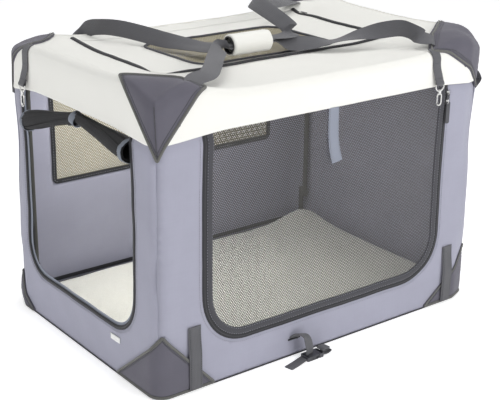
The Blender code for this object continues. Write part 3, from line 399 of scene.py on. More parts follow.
def depth(p):
    """How far points are outside the shell, in metres; inside it is negative."""
    p = np.atleast_2d(np.asarray(p, float))
    qx, qy = np.abs(p[:, 0]) - HALF_X + CORNER, np.abs(p[:, 1]) - HALF_Y + CORNER
    bent = (qx > 0) & (qy > 0)
    turn = np.where(bent, np.arctan2(np.maximum(qy, 1e-9), np.maximum(qx, 1e-9)), 0.0)
    near = (p[:, 0] < 0) & (p[:, 1] < 0)
    extra = np.where(bent, facet(turn, near), 0.0)
    side = around_corner(qx, qy, CORNER) - extra * np.clip(np.hypot(qx, qy) / CORNER, 0, 1)
    z = p[:, 2] - stand(p[:, 0], p[:, 1]) * smooth(p[:, 2], STAND_FROM, STAND_TO)
    return around_corner(side + EDGE, z - (TOP - EDGE), EDGE)


def outward(p, step=0.0015):
    """The direction straight out of the shell at points."""
    p = np.atleast_2d(np.asarray(p, float))
    out = np.stack([depth(p + step * np.eye(3)[k]) - depth(p - step * np.eye(3)[k])
                    for k in range(3)], 1)
    return out / np.maximum(np.linalg.norm(out, axis=1, keepdims=True), 1e-9)


def settle(p, gap, free=False):
    """Points moved to a gap outside the shell; with free, only the ones that lie lower."""
    p = np.atleast_2d(np.asarray(p, float)).copy()
    for _ in range(4):
        short = gap - depth(p)
        if free:
            short = np.maximum(short, 0)
        p += outward(p) * short[:, None]
    return p


print("depth above the middle:", depth((0, 0, TOP + 0.1)).round(4))

# %% [markdown]
# ## Cutting and sewing
# Cloth is made the way a sewer makes it. A panel is cut flat as a pattern, filled with an even
# net of triangles that keeps its edge exact, and then laid on the carrier. Each point keeps its
# place in the flat pattern, in metres, as the attribute `sewn`, and the weave follows that.
# %% Flat patterns
def spaced(line, gap, closed=True):
    """Points along a line, a gap apart at most, with its corners kept."""
    points = [np.array(p, float) for p in line]
    pairs = list(zip(points, points[1:] + points[:1])) if closed else list(zip(points, points[1:]))
    out = []
    for a, b in pairs:
        n = max(1, math.ceil(np.linalg.norm(b - a) / gap))
        out += [a + (b - a) * i / n for i in range(n)]
    return np.array(out if closed else out + [points[-1]])


def arc(cx, cy, r, start, end, n=10):
    turn = [math.radians(start + (end - start) * i / n) for i in range(n + 1)]
    return [(cx + r * math.cos(a), cy + r * math.sin(a)) for a in turn]


def rounded(x0, x1, y0, y1, r, n=10):
    return (arc(x1 - r, y0 + r, r, -90, 0, n) + arc(x1 - r, y1 - r, r, 0, 90, n)
            + arc(x0 + r, y1 - r, r, 90, 180, n) + arc(x0 + r, y0 + r, r, 180, 270, n))


def cup(x0, x1, z0, z1, r, n=10):
    """Down the left, round two lower corners and up the right."""
    return [(x0, z1), *arc(x0 + r, z0 + r, r, 180, 270, n),
            *arc(x1 - r, z0 + r, r, 270, 360, n), (x1, z1)]


print("a doorway's outline:", len(cup(-0.3, 0.3, 0.1, 0.5, 0.1)), "points")

# %% [markdown]
# ## A net of even triangles
# A flat panel could be one large face, but cloth has to bend, so it needs points inside too. They
# are laid in staggered rows, kept clear of the edge, and joined by Blender's own triangulation,
# which keeps the given edges. Whatever falls in a hole is dropped.
# %% Filling an outline
ROW_STEP, EDGE_CLEAR = 0.866, 0.62


def within(points, loop):
    """Which points lie inside a closed loop."""
    x, y, inside = points[:, 0], points[:, 1], np.zeros(len(points), bool)
    for a, b in zip(loop, np.roll(loop, -1, axis=0)):
        crosses = (a[1] > y) != (b[1] > y)
        level = np.where(b[1] == a[1], 1e-12, b[1] - a[1])
        inside ^= crosses & (x < (b[0] - a[0]) * (y - a[1]) / level + a[0])
    return inside


def net(loops, gap):
    """Fills a flat outline, with any holes, with an even net. Returns its points and triangles."""
    edges, points, start = [], [], 0
    for loop in loops:
        n = len(loop)
        points += [tuple(p) for p in loop]
        edges += [(start + i, start + (i + 1) % n) for i in range(n)]
        start += n
    outline = np.array(points)
    (x0, y0), (x1, y1) = outline.min(0), outline.max(0)
    rows = np.arange(y0, y1, gap * ROW_STEP)
    grid = np.array([(x + (k % 2) * gap / 2, y) for k, y in enumerate(rows)
                     for x in np.arange(x0, x1, gap)])
    keep = within(grid, loops[0])
    for hole in loops[1:]:
        keep &= ~within(grid, hole)
    grid = grid[keep]
    near = np.array([np.min(np.hypot(*(outline - p).T)) for p in grid])
    inner = grid[near > gap * EDGE_CLEAR]
    every = [Vector(p) for p in (*outline, *inner)]
    made = delaunay_2d_cdt(every, edges, [], 0, 1e-7)
    flat = np.array([tuple(p) for p in made[0]])
    faces = np.array([f for f in made[2] if len(f) == 3])
    middle = flat[faces].mean(1)
    keep = within(middle, loops[0])
    for hole in loops[1:]:
        keep &= ~within(middle, hole)
    return flat, faces[keep]


print("a 0.1 m square as a net:", len(net([spaced(rounded(0, 0.1, 0, 0.1, 0.01), 0.01)], 0.01)[1]),
      "triangles")

# %% [markdown]
# ## Pieces of cloth
# Every cloth piece is made in one way, so that it always has its pattern and its finish, and a
# thickness and a body to ride on where they are given.
# %% Cloth objects
def cloth(name, points, faces, sewn, finish, body, thick=0.0, offset=-1.0):
    """A named piece of cloth that rides on a body."""
    mesh = bpy.data.meshes.new(name)
    mesh.from_pydata([tuple(map(float, p)) for p in points], [],
                     [tuple(map(int, f)) for f in faces])
    sewn = np.asarray(sewn, float)
    if sewn.shape[1] == 2:
        sewn = np.column_stack([sewn, np.zeros(len(sewn))])
    place = mesh.attributes.new("sewn", "FLOAT_VECTOR", "POINT")
    place.data.foreach_set("vector", sewn.astype(np.float32).ravel())
    mesh.materials.append(finish.material)
    mesh.shade_smooth()
    piece = bpy.data.objects.new(name, mesh)
    bpy.context.collection.objects.link(piece)
    if thick:
        solid = piece.modifiers.new("cloth thickness", "SOLIDIFY")
        solid.thickness, solid.offset, solid.use_even_offset = thick, offset, False
    if body:
        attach(piece, body)
    return piece


def declare(piece, flat, faces, size, on, held="stretched", **rest):
    tri = np.asarray(flat)[np.asarray(faces)]
    cut = abs(np.cross(tri[:, 1] - tri[:, 0], tri[:, 2] - tri[:, 0])).sum() / 2
    min(float(cut), size[0] * size[1])
    return cut


def weld(piece, face_out=True):
    """Joins points that meet, and can turn the faces outward."""
    made = bmesh.new()
    made.from_mesh(piece.data)
    bmesh.ops.remove_doubles(made, verts=made.verts, dist=1e-6)
    if face_out:
        bmesh.ops.recalc_face_normals(made, faces=made.faces)
    made.to_mesh(piece.data)
    made.free()


def woven_grid(rows):
    """Points, faces and pattern places for rows of points of equal count, laid as a net."""
    rows = np.asarray(rows, float)
    n, m = rows.shape[:2]
    index = np.arange(n * m).reshape(n, m)
    faces = np.stack([index[:-1, :-1], index[:-1, 1:], index[1:, 1:], index[1:, :-1]], -1)
    across = np.concatenate([np.zeros((n, 1)), np.cumsum(
        np.linalg.norm(np.diff(rows, axis=1), axis=2), axis=1)], 1)
    along = np.concatenate([np.zeros((1, m)), np.cumsum(
        np.linalg.norm(np.diff(rows, axis=0), axis=2), axis=0)], 0)
    sewn = np.stack([along.mean(1)[:, None].repeat(m, 1), across.mean(0)[None].repeat(n, 0)], -1)
    return rows.reshape(-1, 3), faces.reshape(-1, 4), sewn.reshape(-1, 2)


print("a grid of 3 by 4 points:", len(woven_grid(np.zeros((3, 4, 3)))[1]), "faces")

# %% [markdown]
# ## Tapes, webbing, piping and thread
# Most of the trim is narrow and follows a line: zip tape, binding, webbing, piping and rows of
# stitches. One helper sweeps a section along a line. The section is a list of places across and
# above the line, so the same helper makes a flat strap with rolled edges and a round cord.
# %% Sweeping a section along a line
SHARP_TURN = math.radians(50)


def path_frame(line, out, closed=False):
    """Along, across and out directions at every point of a line."""
    line, out = np.asarray(line, float), np.asarray(out, float)
    if closed:
        ahead = np.roll(line, -1, 0) - np.roll(line, 1, 0)
    else:
        ahead = np.gradient(line, axis=0)
    ahead /= np.maximum(np.linalg.norm(ahead, axis=1, keepdims=True), 1e-9)
    across = np.cross(out, ahead)
    across /= np.maximum(np.linalg.norm(across, axis=1, keepdims=True), 1e-9)
    return ahead, across, np.cross(ahead, across)


def swept(name, line, out, section, finish, body, slot=None, closed=False, ends=True):
    """A bar of any section along a line, with its pattern along and round it."""
    line = np.asarray(line, float)
    _, across, up = path_frame(line, out, closed)
    if closed:
        line, across, up = (np.concatenate([a, a[:1]]) for a in (line, across, up))
    section = np.asarray(section, float)
    if section.ndim == 2:
        section = np.broadcast_to(section, (len(line), *section.shape))
    rows = line[:, None] + across[:, None] * section[..., :1] + up[:, None] * section[..., 1:]
    rows = np.concatenate([rows, rows[:, :1]], 1)
    points, faces, sewn = woven_grid(rows)
    m = rows.shape[1]
    sewn[:, 1] = np.append(section[0, :, 0], section[0, 0, 0])[np.arange(len(points)) % m]
    faces = [tuple(f) for f in faces]
    if ends and not closed:
        faces += [tuple(range(m - 1))[::-1], tuple(range(len(points) - m, len(points) - 1))]
    piece = cloth(name, points, faces, sewn, finish, body)
    weld(piece)
    piece.data.set_sharp_from_angle(angle=SHARP_TURN)
    return piece


# %% Sections
TAPE_EDGE = 0.45


def tape(width, thick, columns=4, crown=0.0):
    """The section of a flat tape with soft edges, lying on its line."""
    u = np.linspace(-1, 1, columns + 1)
    top = [(a * width / 2, thick * (TAPE_EDGE if abs(a) == 1 else 1.0) + crown * (1 - a * a))
           for a in u]
    return top[::-1] + [(a * width / 2, 0.0) for a in u]


def cord(radius, sides=8):
    """The section of a round cord, centred on its line."""
    turn = np.linspace(0, 2 * math.pi, sides, endpoint=False)
    return [(radius * math.cos(a), radius * math.sin(a)) for a in turn[::-1]]


def curve(points, gap=0.006):
    """A smooth line through points, at even steps."""
    v = np.asarray(points, float)
    span = np.maximum(np.linalg.norm(np.diff(v[:, :3], axis=0), axis=1), 1e-9)
    slope = np.empty_like(v)
    for i in range(len(v)):
        a, b = max(i - 1, 0), min(i + 1, len(v) - 1)
        slope[i] = (v[b] - v[a]) / span[a:b].sum()
    out = []
    for k in range(len(v) - 1):
        n = max(1, round(span[k] / gap))
        for i in range(n):
            t = i / n
            rise = 3 * t * t - 2 * t ** 3
            out.append(v[k] * (1 - rise) + v[k + 1] * rise
                       + (slope[k] * (t - 1) + slope[k + 1] * t) * (t * (t - 1) * span[k]))
    return np.array(out + [v[-1]])


print("points in a tape's section:", len(tape(0.02, 0.002)), "and in a cord's:", len(cord(0.001)))

# %% Thread
# Each stitch is four small rings: where along it they are, how high, and how wide.
STITCH = ((-0.5, 0, 0.15), (-0.25, 0.7, 1), (0.25, 0.7, 1), (0.5, 0, 0.15))


def stitches(name, line, out, finish, body, pitch=0.0065, long=0.0042, wide=0.00055):
    """A row of thread stitches: one small raised loop for each, along a line."""
    line = np.asarray(line, float)
    run = np.append(0, np.cumsum(np.linalg.norm(np.diff(line, axis=0), axis=1)))
    count = int(run[-1] / pitch)
    ahead, across, up = path_frame(line, out)
    points, faces, sewn = [], [], []
    for k in range(count):
        s = (k + 0.5) * pitch
        c, a, w, n = (np.array([np.interp(s, run, v[:, j]) for j in range(3)])
                      for v in (line, ahead, across, up))
        start = len(points)
        for d, h, r in STITCH:
            mid = c + a * long * d + n * wide * h
            points += [mid + w * wide * r, mid + n * wide * r,
                       mid - w * wide * r, mid - n * wide * r]
            sewn += [(s, 0)] * 4
        for i in range(3):
            for j in range(4):
                p, q = start + 4 * i + j, start + 4 * i + (j + 1) % 4
                faces.append((p, q, q + 4, p + 4))
        faces += [(start + 3, start + 2, start + 1, start),
                  (start + 12, start + 13, start + 14, start + 15)]
    return cloth(name, points, faces, sewn, finish, body)


print("rings in a stitch:", len(STITCH))

# %% Soft unevenness, the same at every run
SEED_STEP = (7.31, 3.17, 5.53)


def drift(p, size, seed):
    """A smooth random value from about -1 to 1 at each point."""
    p = np.asarray(p, float)
    shift = Vector([seed * step for step in SEED_STEP])
    values = [noise.noise(Vector(q) / size + shift) for q in p.reshape(-1, 3)]
    return np.array(values).reshape(p.shape[:-1])


print("drift at the origin:", drift((0.0, 0.0, 0.0), 0.1, 1).round(3))

# %% [markdown]
# ## Woven cloth
# The walls and the cover are coated polyester: a fine plain weave with a faint sheen, slightly
# uneven in colour. A picture of cloth would blur up close, so the weave is a sum of two sines of
# the piece's own pattern, in real metres, with drawn-out noise for the thicker threads.
# %% Woven cloth
TURN = 2 * math.pi


def woven(name, colour, pitch=0.0011, relief=0.35, uneven=0.10, rough=0.82, sheen=0.15):
    f = Finish(name, Roughness=rough, Sheen_Weight=sheen, Sheen_Roughness=0.4,
               Specular_IOR_Level=0.3)
    place, split, across = f.along()
    thread = (split * (TURN / pitch)).sine() * (across * (TURN / pitch)).sine()
    warp = f.cloud(f.stretch(place, (1.0, 0.08, 1.0)), 260.0)
    slub = warp + f.cloud(f.stretch(place, (0.08, 1.0, 1.0)), 260.0)
    patchy = f.cloud(place, 9.0, 4.0, 0.6)
    mask = (slub * 0.5 - 0.5) * 0.35 + (patchy - 0.5) * 0.9 + 0.5
    f.set("Base Color", f.blend(mask, deeper(colour, 1 - uneven), deeper(colour, 1 + uneven)))
    f.set("Roughness", (patchy - 0.5) * 0.12 + rough)
    f.bump(thread * 0.5 + slub * 0.6, relief, 0.0004)
    return f


GREY = woven("lavender_polyester", shade("A2A2B1"))
CREAM = woven("cream_polyester", shade("F3F2EC"), uneven=0.02, sheen=0.1)
CHARCOAL = woven("charcoal_polyester", shade("615F69"), uneven=0.14, sheen=0.2)
LINING = woven("lining_polyester", shade("8E93A0"))
print("woven finishes:", [f.material.name for f in (GREY, CREAM, CHARCOAL, LINING)])

# %% [markdown]
# ## Webbing, binding and thread
# Webbing and binding are woven in ribs that lean out from the middle, like a row of arrows. The
# lean comes from adding half the distance across to the distance along, before the sine. The
# same finish with a finer pitch makes the bindings and the sewing thread.
# %% Ribbed tapes
def ribbed(name, colour, pitch=0.0022, rough=0.7, uneven=0.16, sheen=0.2):
    f = Finish(name, Roughness=rough, Sheen_Weight=sheen)
    place, split, across = f.along()
    rib = ((split + across.size() * 0.5) * (TURN / pitch)).sine()
    cord_line = (across * (TURN / (pitch * 1.6))).sine()
    worn = f.cloud(place, 22.0, 4.0, 0.65)
    mask = rib * 0.16 + cord_line * 0.10 + (worn - 0.5) * 1.2 + 0.5
    f.set("Base Color", f.blend(mask, deeper(colour, 1 - uneven), deeper(colour, 1 + uneven)))
    f.set("Roughness", worn * 0.2 + (rough - 0.1))
    f.bump(rib * 0.6 + cord_line * 0.4, 0.5, 0.0005)
    return f


WEBBING = ribbed("grey_webbing", shade("545458"))
EDGING = ribbed("patch_edging", shade("62625E"), 0.0014)
BINDING = ribbed("charcoal_binding", shade("3A3A40"), 0.0014, sheen=0.1)
BLACK_BINDING = ribbed("black_binding", shade("202024"), 0.0014, sheen=0.1)
THREAD = ribbed("grey_thread", shade("8A8A92"), 0.0008)
DARK_THREAD = ribbed("dark_thread", shade("3A3A40"), 0.0008)
WHITE_THREAD = ribbed("cream_thread", shade("E6E4DC"), 0.0008)
print("threads:", [f.material.name for f in (THREAD, DARK_THREAD, WHITE_THREAD)])

# %% [markdown]
# ## Knitted mesh
# The door and the windows are knitted mesh with holes about four and a half millimetres apart,
# each row half a step along. Real holes would take millions of faces, so they are cut in the
# finish: `Alpha` is the distance from the nearest hole's middle, with a soft step at its rim.
# %% Knitted mesh
def knitted(name, colour, pitch=0.0046, open_share=0.30):
    """A see-through knit: rows of holes, each row half a step along."""
    f = Finish(name, Roughness=0.75)
    place, split, across = f.along()
    row = across / (pitch * 0.8)
    x = (split / pitch + row.floor() * 0.5).fraction() - 0.5
    y = row.fraction() - 0.5
    near = x * x + y * y * 0.8
    f.set("Alpha", near.ramp(open_share ** 2 * 0.75, open_share ** 2 * 1.35))
    worn = f.cloud(place, 14.0, 3.0)
    f.set("Base Color", f.blend(worn, deeper(colour, 0.8), deeper(colour, 1.2)))
    f.bump(near, 0.6, 0.0006)
    return f


DARK_MESH = knitted("charcoal_mesh", shade("454442"), open_share=0.35)
PALE_MESH = knitted("beige_mesh", shade("958E78"), open_share=0.19)
print("meshes:", DARK_MESH.material.name, PALE_MESH.material.name)

# %% [markdown]
# ## Zip tape
# The zips are coil zips: a nylon coil runs down the middle of a woven tape. The coil is too fine
# to model, so the tape's section has a raised middle, and the finish draws the turns of the coil
# there as slanted ridges.
# %% Zip tape
COIL_HALF, COIL_EDGE, TOOTH = 0.0009, 0.0013, 0.0016


def zipped(name, colour):
    """Zip tape: a coil down the middle with its stitches, and plain woven tape beside it."""
    f = Finish(name, Roughness=0.6)
    place, split, across = f.along()
    coil = across.size().ramp(COIL_HALF, COIL_EDGE, 1.0, 0.0)
    tooth = ((split + across * 0.6) * (TURN / TOOTH)).sine()
    worn = f.cloud(place, 40.0, 3.0)
    mask = coil * (tooth * 0.5 + 0.5) + worn * 0.3
    f.set("Base Color", f.blend(mask, deeper(colour, 0.7), deeper(colour, 1.8)))
    f.set("Roughness", coil * -0.25 + 0.72)
    f.bump(coil * (tooth * 0.5 + 1.0), 0.8, 0.0006)
    return f


ZIP = zipped("black_zip", shade("26262A"))
print("zip nodes:", len(ZIP.tree.nodes))

# %% [markdown]
# ## Paint, plastic and metal
# The tubes are painted, the clips and the buckle are moulded, and the snap hooks and sliders are
# plated. One finish serves all: a fine grain, broad uneven patches, and edges that are rubbed
# lighter, found by the `Pointiness` of the surface. Its values tell them apart.
# %% Coated hardware
POINTINESS = 7


def coated(name, colour, rough, metal=0.0, worn_to=1.5):
    f = Finish(name, Roughness=rough, Metallic=metal)
    place = f.in_piece()
    fine = f.cloud(place, 300.0, 4.0)
    broad = f.cloud(place, 18.0, 4.0, 0.7)
    edge = f.node("ShaderNodeNewGeometry", (), (), POINTINESS).ramp(0.52, 0.60)
    mask = broad * 0.5 + edge * 0.6
    f.set("Base Color", f.blend(mask, deeper(colour, 0.85), deeper(colour, worn_to)))
    f.set("Roughness", (broad - 0.5) * 0.3 + fine * 0.1 + rough)
    f.bump(fine, 0.25, 0.0002)
    return f


PAINT = coated("dark_tube_paint", shade("4A4A46"), 0.38, 0.2)
PLASTIC = coated("moulded_black", shade("2E2E31"), 0.42)
BUCKLE = coated("buckle_black", shade("303034"), 0.28, worn_to=2.0)
METAL = coated("plated_metal", shade("D8D8D6"), 0.22, 1.0, worn_to=1.05)
HARDWARE = ((PAINT, ("bottom_frame", "top_frame", "left_hoop", "right_hoop")),
            (PLASTIC, ("left_bar_clip", "right_bar_clip")),
            (BUCKLE, ("buckle_socket", "buckle_prongs", "upper_pull", "lower_pull", "top_pull")),
            (METAL, ("front_lock_eye", "front_lock_hook", "front_lock_gate", "side_lock_eye",
                     "side_lock_hook", "side_lock_gate", "upper_slider", "lower_slider",
                     "top_slider")))
for finish, nodes in HARDWARE:
    for node in nodes:
        slots = frame["nodes"][node].data.materials
        for k in range(len(slots)):
            slots[k] = finish.material
    print(finish.material.name, "on", len(nodes), "pieces")

# %% [markdown]
# ## Fleece and the tag
# The mat is a short-pile fleece. Its tufts are a smooth Voronoi pattern with finer noise over it,
# and a strong sheen gives the soft pale rim that pile has. The tag is a plain white weave.
# %% Fleece and tag
def fleecy(name, colour):
    f = Finish(name, Roughness=0.95, Sheen_Weight=0.5, Sheen_Roughness=0.6)
    place = f.in_piece()
    tuft = f.node("ShaderNodeTexVoronoi", {"feature": "SMOOTH_F1"},
                  {"Vector": place, "Scale": 420.0})
    nap = f.cloud(place, 90.0, 5.0, 0.7)
    mask = tuft * 0.7 + nap * 0.5
    f.set("Base Color", f.blend(mask, deeper(colour, 1.04), deeper(colour, 0.84)))
    f.bump(nap * 0.7 - tuft, 0.8, 0.0016)
    return f


FLEECE = fleecy("ivory_fleece", shade("F5F4E8"))
TAG = woven("white_tag", shade("F0F0EE"), uneven=0.03)
print("finishes:", len(bpy.data.materials))

# %% [markdown]
# ## Walls
# The four walls hang from the band and stand on the floor. Between the frame's rails the cloth
# has nothing behind it, so it draws in a little at mid-height, except where a post of the frame
# holds it out. It hangs in long shallow folds, deepest at the corners, and its top is tucked
# under the band. The doorways are cut in the flat pattern.
# %% How a wall hangs
WALLS = {"front": ((1, 0), (0, -1), HALF_X, HALF_Y), "right": ((0, 1), (1, 0), HALF_Y, HALF_X),
         "back": ((-1, 0), (0, 1), HALF_X, HALF_Y), "left": ((0, -1), (-1, 0), HALF_Y, HALF_X)}
QUARTER = CORNER * math.pi / 4
BOW, TUCK = 0.0045, 0.0042
WRINKLE, WAVE, SLANT = 0.0011, 0.0022, 0.0016
POST_TURN, POST_REACH = 0.53, 0.022


def hanging(side, a, z, seed):
    """How far a wall stands out from the flat shell."""
    flat = WALLS[side][2] - CORNER
    a, z = np.asarray(a, float), np.asarray(z, float)
    corner = smooth(np.abs(a), flat - 0.06, flat + QUARTER)
    turn = POST_TURN if side in ("front", "back") else math.pi / 2 - POST_TURN
    post = bell(np.abs(a) - flat - turn * CORNER, POST_REACH)
    post = post * smooth(z, 0.12, 0.17) * (1 - smooth(z, 0.29, 0.40))
    above_rail, below_rail = smooth(z, 0.11, 0.27), 1 - smooth(z, 0.40, 0.55)
    bow = -BOW * above_rail * below_rail * (1 - post) + BOW * post
    depth_of = np.full_like(a, seed)
    upright = np.stack([a, z * 0.3, depth_of], -1)
    slanted = np.stack([(a + z) * 0.9, (a - z) * 0.22, depth_of], -1)
    folds = drift(upright, 0.045, seed) * WRINKLE * (0.5 + corner)
    wide = drift(upright, 0.17, seed + 3) * WAVE + drift(slanted, 0.06, seed + 6) * SLANT
    tuck = TUCK * smooth(z, BAND - 0.012, BAND + 0.004)
    return bow + (folds + wide) * smooth(z, 0.0, 0.08) - tuck


# %% Points on a wall
def on_wall(side, a, z, gap=0.0):
    """Points on a wall from places along it and up it."""
    ahead, out, half, away = WALLS[side]
    a, z = np.broadcast_arrays(np.asarray(a, float), np.asarray(z, float))
    flat = half - CORNER
    turn = np.clip(np.abs(a) - flat, 0, None) / CORNER
    base = np.clip(a, -flat, flat)
    near = {"front": a < 0, "left": a > 0}.get(side, False)
    r = CORNER + gap + facet(turn, near) + hanging(side, a, z, 1 + list(WALLS).index(side))
    x, y = (out[k] * (away - CORNER) + ahead[k] * base
            + r * (out[k] * np.cos(turn) + ahead[k] * np.sign(a) * np.sin(turn)) for k in (0, 1))
    return np.stack([x, y, z], -1)


print("the front wall's middle:", on_wall("front", 0.0, 0.3).round(4))

# %% [markdown]
# ## Cloth and the fold
# When the carrier is folded the real walls crumple. A cloth simulation can't be posed, and the
# pieces on the walls are not squashed here: each only gets a mesh of its own.
# %% The fold joint
FOLD_DROP = next(j for j in frame["joints"] if j["name"] == "fold")["range_m"][1]
FOLD_KEEP = 1 - FOLD_DROP / BAND


def fold_down(*pieces):
    """Gives each piece a mesh of its own; it does not flatten them as the carrier folds."""
    for piece in pieces:
        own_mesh(piece)


print("folded height of a wall:", round(BAND * FOLD_KEEP, 3), "m")

# %% Cut and hang the walls
# A doorway is its two sides, its foot and its corner radius; the window has a top too.
DOOR = (-0.341, 0.330, 0.085, 0.110)
SIDE = (-0.228, 0.228, 0.105, 0.085)
WINDOW = (-0.308, 0.345, 0.270, 0.522, 0.012)
WALL_FOOT, WALL_TOP = 0.0006, BAND + 0.022
CUT_STEP = 0.010


def wall_pattern(side, hole):
    """The flat outline of a wall, and the loop of its window."""
    half = WALLS[side][2] - CORNER + QUARTER
    foot = [(-half, WALL_FOOT), (half, WALL_FOOT), (half, WALL_TOP)]
    mouth, loops = [], []
    if hole in (DOOR, SIDE):
        x0, x1, z0, r = hole
        mouth = [(x, min(z, WALL_TOP)) for x, z in cup(x0, x1, z0, WALL_TOP, r, 14)]
    elif hole:
        loops = [spaced(rounded(*hole), CUT_STEP)]
    return [spaced(foot + mouth[::-1] + [(-half, WALL_TOP)], CUT_STEP)] + loops


for side, hole in (("front", DOOR), ("left", SIDE), ("back", WINDOW), ("right", None)):
    flat, faces = net(wall_pattern(side, hole), 0.011)
    piece = cloth(side + "_wall_cloth", on_wall(side, flat[:, 0], flat[:, 1]), faces, flat, GREY,
                  "base", thick=0.0024, offset=1.0)
    piece.data.flip_normals()
    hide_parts(side + "_wall")
    size = (2 * WALLS[side][2], WALL_TOP)
    cut = declare(piece, flat, faces, size, ["bottom_frame", "top_frame"])
    fold_down(piece)
    print(side, "wall:", len(flat), "points", round(cut, 3), "square metres")

# %% [markdown]
# ## Cream top
# The band is one strip sewn into a ring. It turns over the top edge, and the flat cover is sewn
# under its inner edge. Its hem rises a few millimetres between the corners, where the cover
# pulls on it. A little seeded unevenness keeps the cloth from looking like sheet metal.
# %% Laying things on the top
EASE_WIDE, EASE_FINE = 0.0011, 0.0005


def ease(p):
    """The small unevenness of the skin at points."""
    p = np.atleast_2d(np.asarray(p, float))
    return EASE_WIDE * drift(p, 0.085, 5) + EASE_FINE * drift(p * (1, 1, 0.4), 0.028, 9)


def lay(p, gap, free=False):
    """Points settled on the eased skin, at a gap outside it."""
    p = settle(p, gap, free)
    return p + outward(p) * ease(p)[:, None]


def on_top(x, y, gap=0.0):
    x, y = np.broadcast_arrays(np.asarray(x, float), np.asarray(y, float))
    p = np.stack([x, y, TOP + stand(x, y)], -1).reshape(-1, 3)
    p[:, 2] += ease(p) + gap
    return p.reshape(*x.shape, 3)


def round_plan(inset=0.0, gap=0.008):
    """The shell's outline from above at an inset, anticlockwise from the right front corner."""
    loop = rounded(-HALF_X + inset, HALF_X - inset, -HALF_Y + inset, HALF_Y - inset,
                   CORNER - inset, 14)
    return spaced(loop, gap)


HEM_ARCH, HEM_SLACK, HEM_REACH = 0.0085, 0.010, 0.110


def hem_height(x, y):
    """The band's lower edge, arched a little between the corners."""
    near = np.minimum(np.maximum(HALF_X - np.abs(x), 0) + 0.5 * (np.abs(y) < HALF_Y - 0.03),
                      np.maximum(HALF_Y - np.abs(y), 0) + 0.5 * (np.abs(x) < HALF_X - 0.03))
    slack = HEM_SLACK * bell(np.hypot(x + HALF_X, y - HALF_Y), HEM_REACH)
    return BAND + 0.0015 + HEM_ARCH * smooth(near, 0.02, 0.17) - slack


print("hem height at a corner and mid-front:", hem_height(HALF_X, HALF_Y).round(4),
      hem_height(0.0, -HALF_Y).round(4))

# %% The band
HEM_FLARE, HEM_TALL = 0.0012, 0.012
UPRIGHT_ROWS, TURNED_ROWS = 13, 7
ring = round_plan()
hem = hem_height(ring[:, 0], ring[:, 1])
rows = []
for t in np.linspace(0, 1, UPRIGHT_ROWS):
    z = hem + (TOP - EDGE - hem) * t
    row = np.column_stack([ring, z])
    flare = HEM_FLARE * (1 - smooth(z - hem, 0.0, HEM_TALL))
    rows.append(lay(row, 0.0) + outward(row) * flare[:, None])
for i in range(1, TURNED_ROWS + 1):
    a = math.pi / 2 * i / TURNED_ROWS
    at_edge = round_plan(EDGE * (1 - math.cos(a)))
    z = TOP - EDGE + EDGE * math.sin(a) + stand(at_edge[:, 0], at_edge[:, 1])
    rows.append(lay(np.column_stack([at_edge, z]), 0.0))
points, faces, sewn = woven_grid([np.concatenate([r, r[:1]]) for r in rows])
band = cloth("band_cloth", points, faces, sewn[:, ::-1], CREAM, "top",
             thick=0.0022, offset=-1.0)
weld(band, face_out=False)
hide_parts("valance")
tall, around = (float(v) for v in sewn.max(0))
print("band:", round(around, 3), "m round and", round(tall, 3), "m tall")

# %% [markdown]
# ## The cover and the top door
# The top opens with a zip on three sides. The cover has a hole of the door's shape, and the door
# is a panel of its own, a few millimetres smaller, so that it can turn on its rear edge. The
# panel has a mesh window in its middle. Each is a rectangle with rounded corners, given by its
# four sides.
# %% The cover and the top door's panel
DOOR_TOP = (-0.318, 0.332, -0.113, 0.240)
DOOR_R, DOOR_ZIP = 0.035, 0.0095
LOOK_OUT = (-0.196, 0.200, -0.088, 0.160)
LOOK_R, LOOK_BIND = 0.045, 0.008


def flap(by, back=0.0):
    """The top door's outline, drawn in by a margin; it is open at the back."""
    x0, x1, y0, y1 = DOOR_TOP
    return cup(x0 + by, x1 - by, y0 + by, y1 - back, DOOR_R - by)


flat, faces = net([round_plan(EDGE - 0.003, 0.012), spaced(flap(0.0035), 0.012)], 0.014)
cover = cloth("cover_cloth", on_top(flat[:, 0], flat[:, 1], -0.0012), faces, flat, CREAM, "top",
              thick=0.002)
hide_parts("top_cover")
declare(cover, flat, faces, (2 * HALF_X, 2 * HALF_Y), ["top_frame"])
flat, faces = net([spaced(flap(0.0042, 0.001), 0.011),
                   spaced(rounded(*LOOK_OUT, LOOK_R), 0.011)], 0.013)
panel = cloth("top_door_cloth", on_top(flat[:, 0], flat[:, 1], -0.0008), faces, flat, CREAM,
              "top_door", thick=0.002)
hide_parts("top_door_panel")
door_size = (DOOR_TOP[1] - DOOR_TOP[0], DOOR_TOP[3] - DOOR_TOP[2])
declare(panel, flat, faces, door_size, ["top_frame"])
print("top door:", [round(v, 3) for v in door_size], "m")

# %% The top door's mesh window
NET_LAP, NET_SAG = 0.004, 0.006


def inset_sides(x0, x1, y0, y1, by):
    return x0 + by, x1 - by, y0 + by, y1 - by


inner = inset_sides(*LOOK_OUT, NET_LAP)
flat, faces = net([spaced(rounded(*inner, LOOK_R - NET_LAP), 0.012)], 0.014)
middle = ((LOOK_OUT[0] + LOOK_OUT[1]) / 2, (LOOK_OUT[2] + LOOK_OUT[3]) / 2)
span = (inner[1] - inner[0], inner[3] - inner[2])
along, across = (1 - (2 * (flat[:, k] - middle[k]) / span[k]) ** 2 for k in (0, 1))
sagging = on_top(flat[:, 0], flat[:, 1], -0.0018)
sagging[:, 2] -= NET_SAG * np.clip(along * across, 0, 1)
top_net = cloth("top_window_mesh", sagging, faces, flat, PALE_MESH, "top_door")
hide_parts("top_door_mesh")
declare(top_net, flat, faces, span, ["top_frame"], with_pieces=[panel])
print("top window:", [round(v, 3) for v in span], "m")


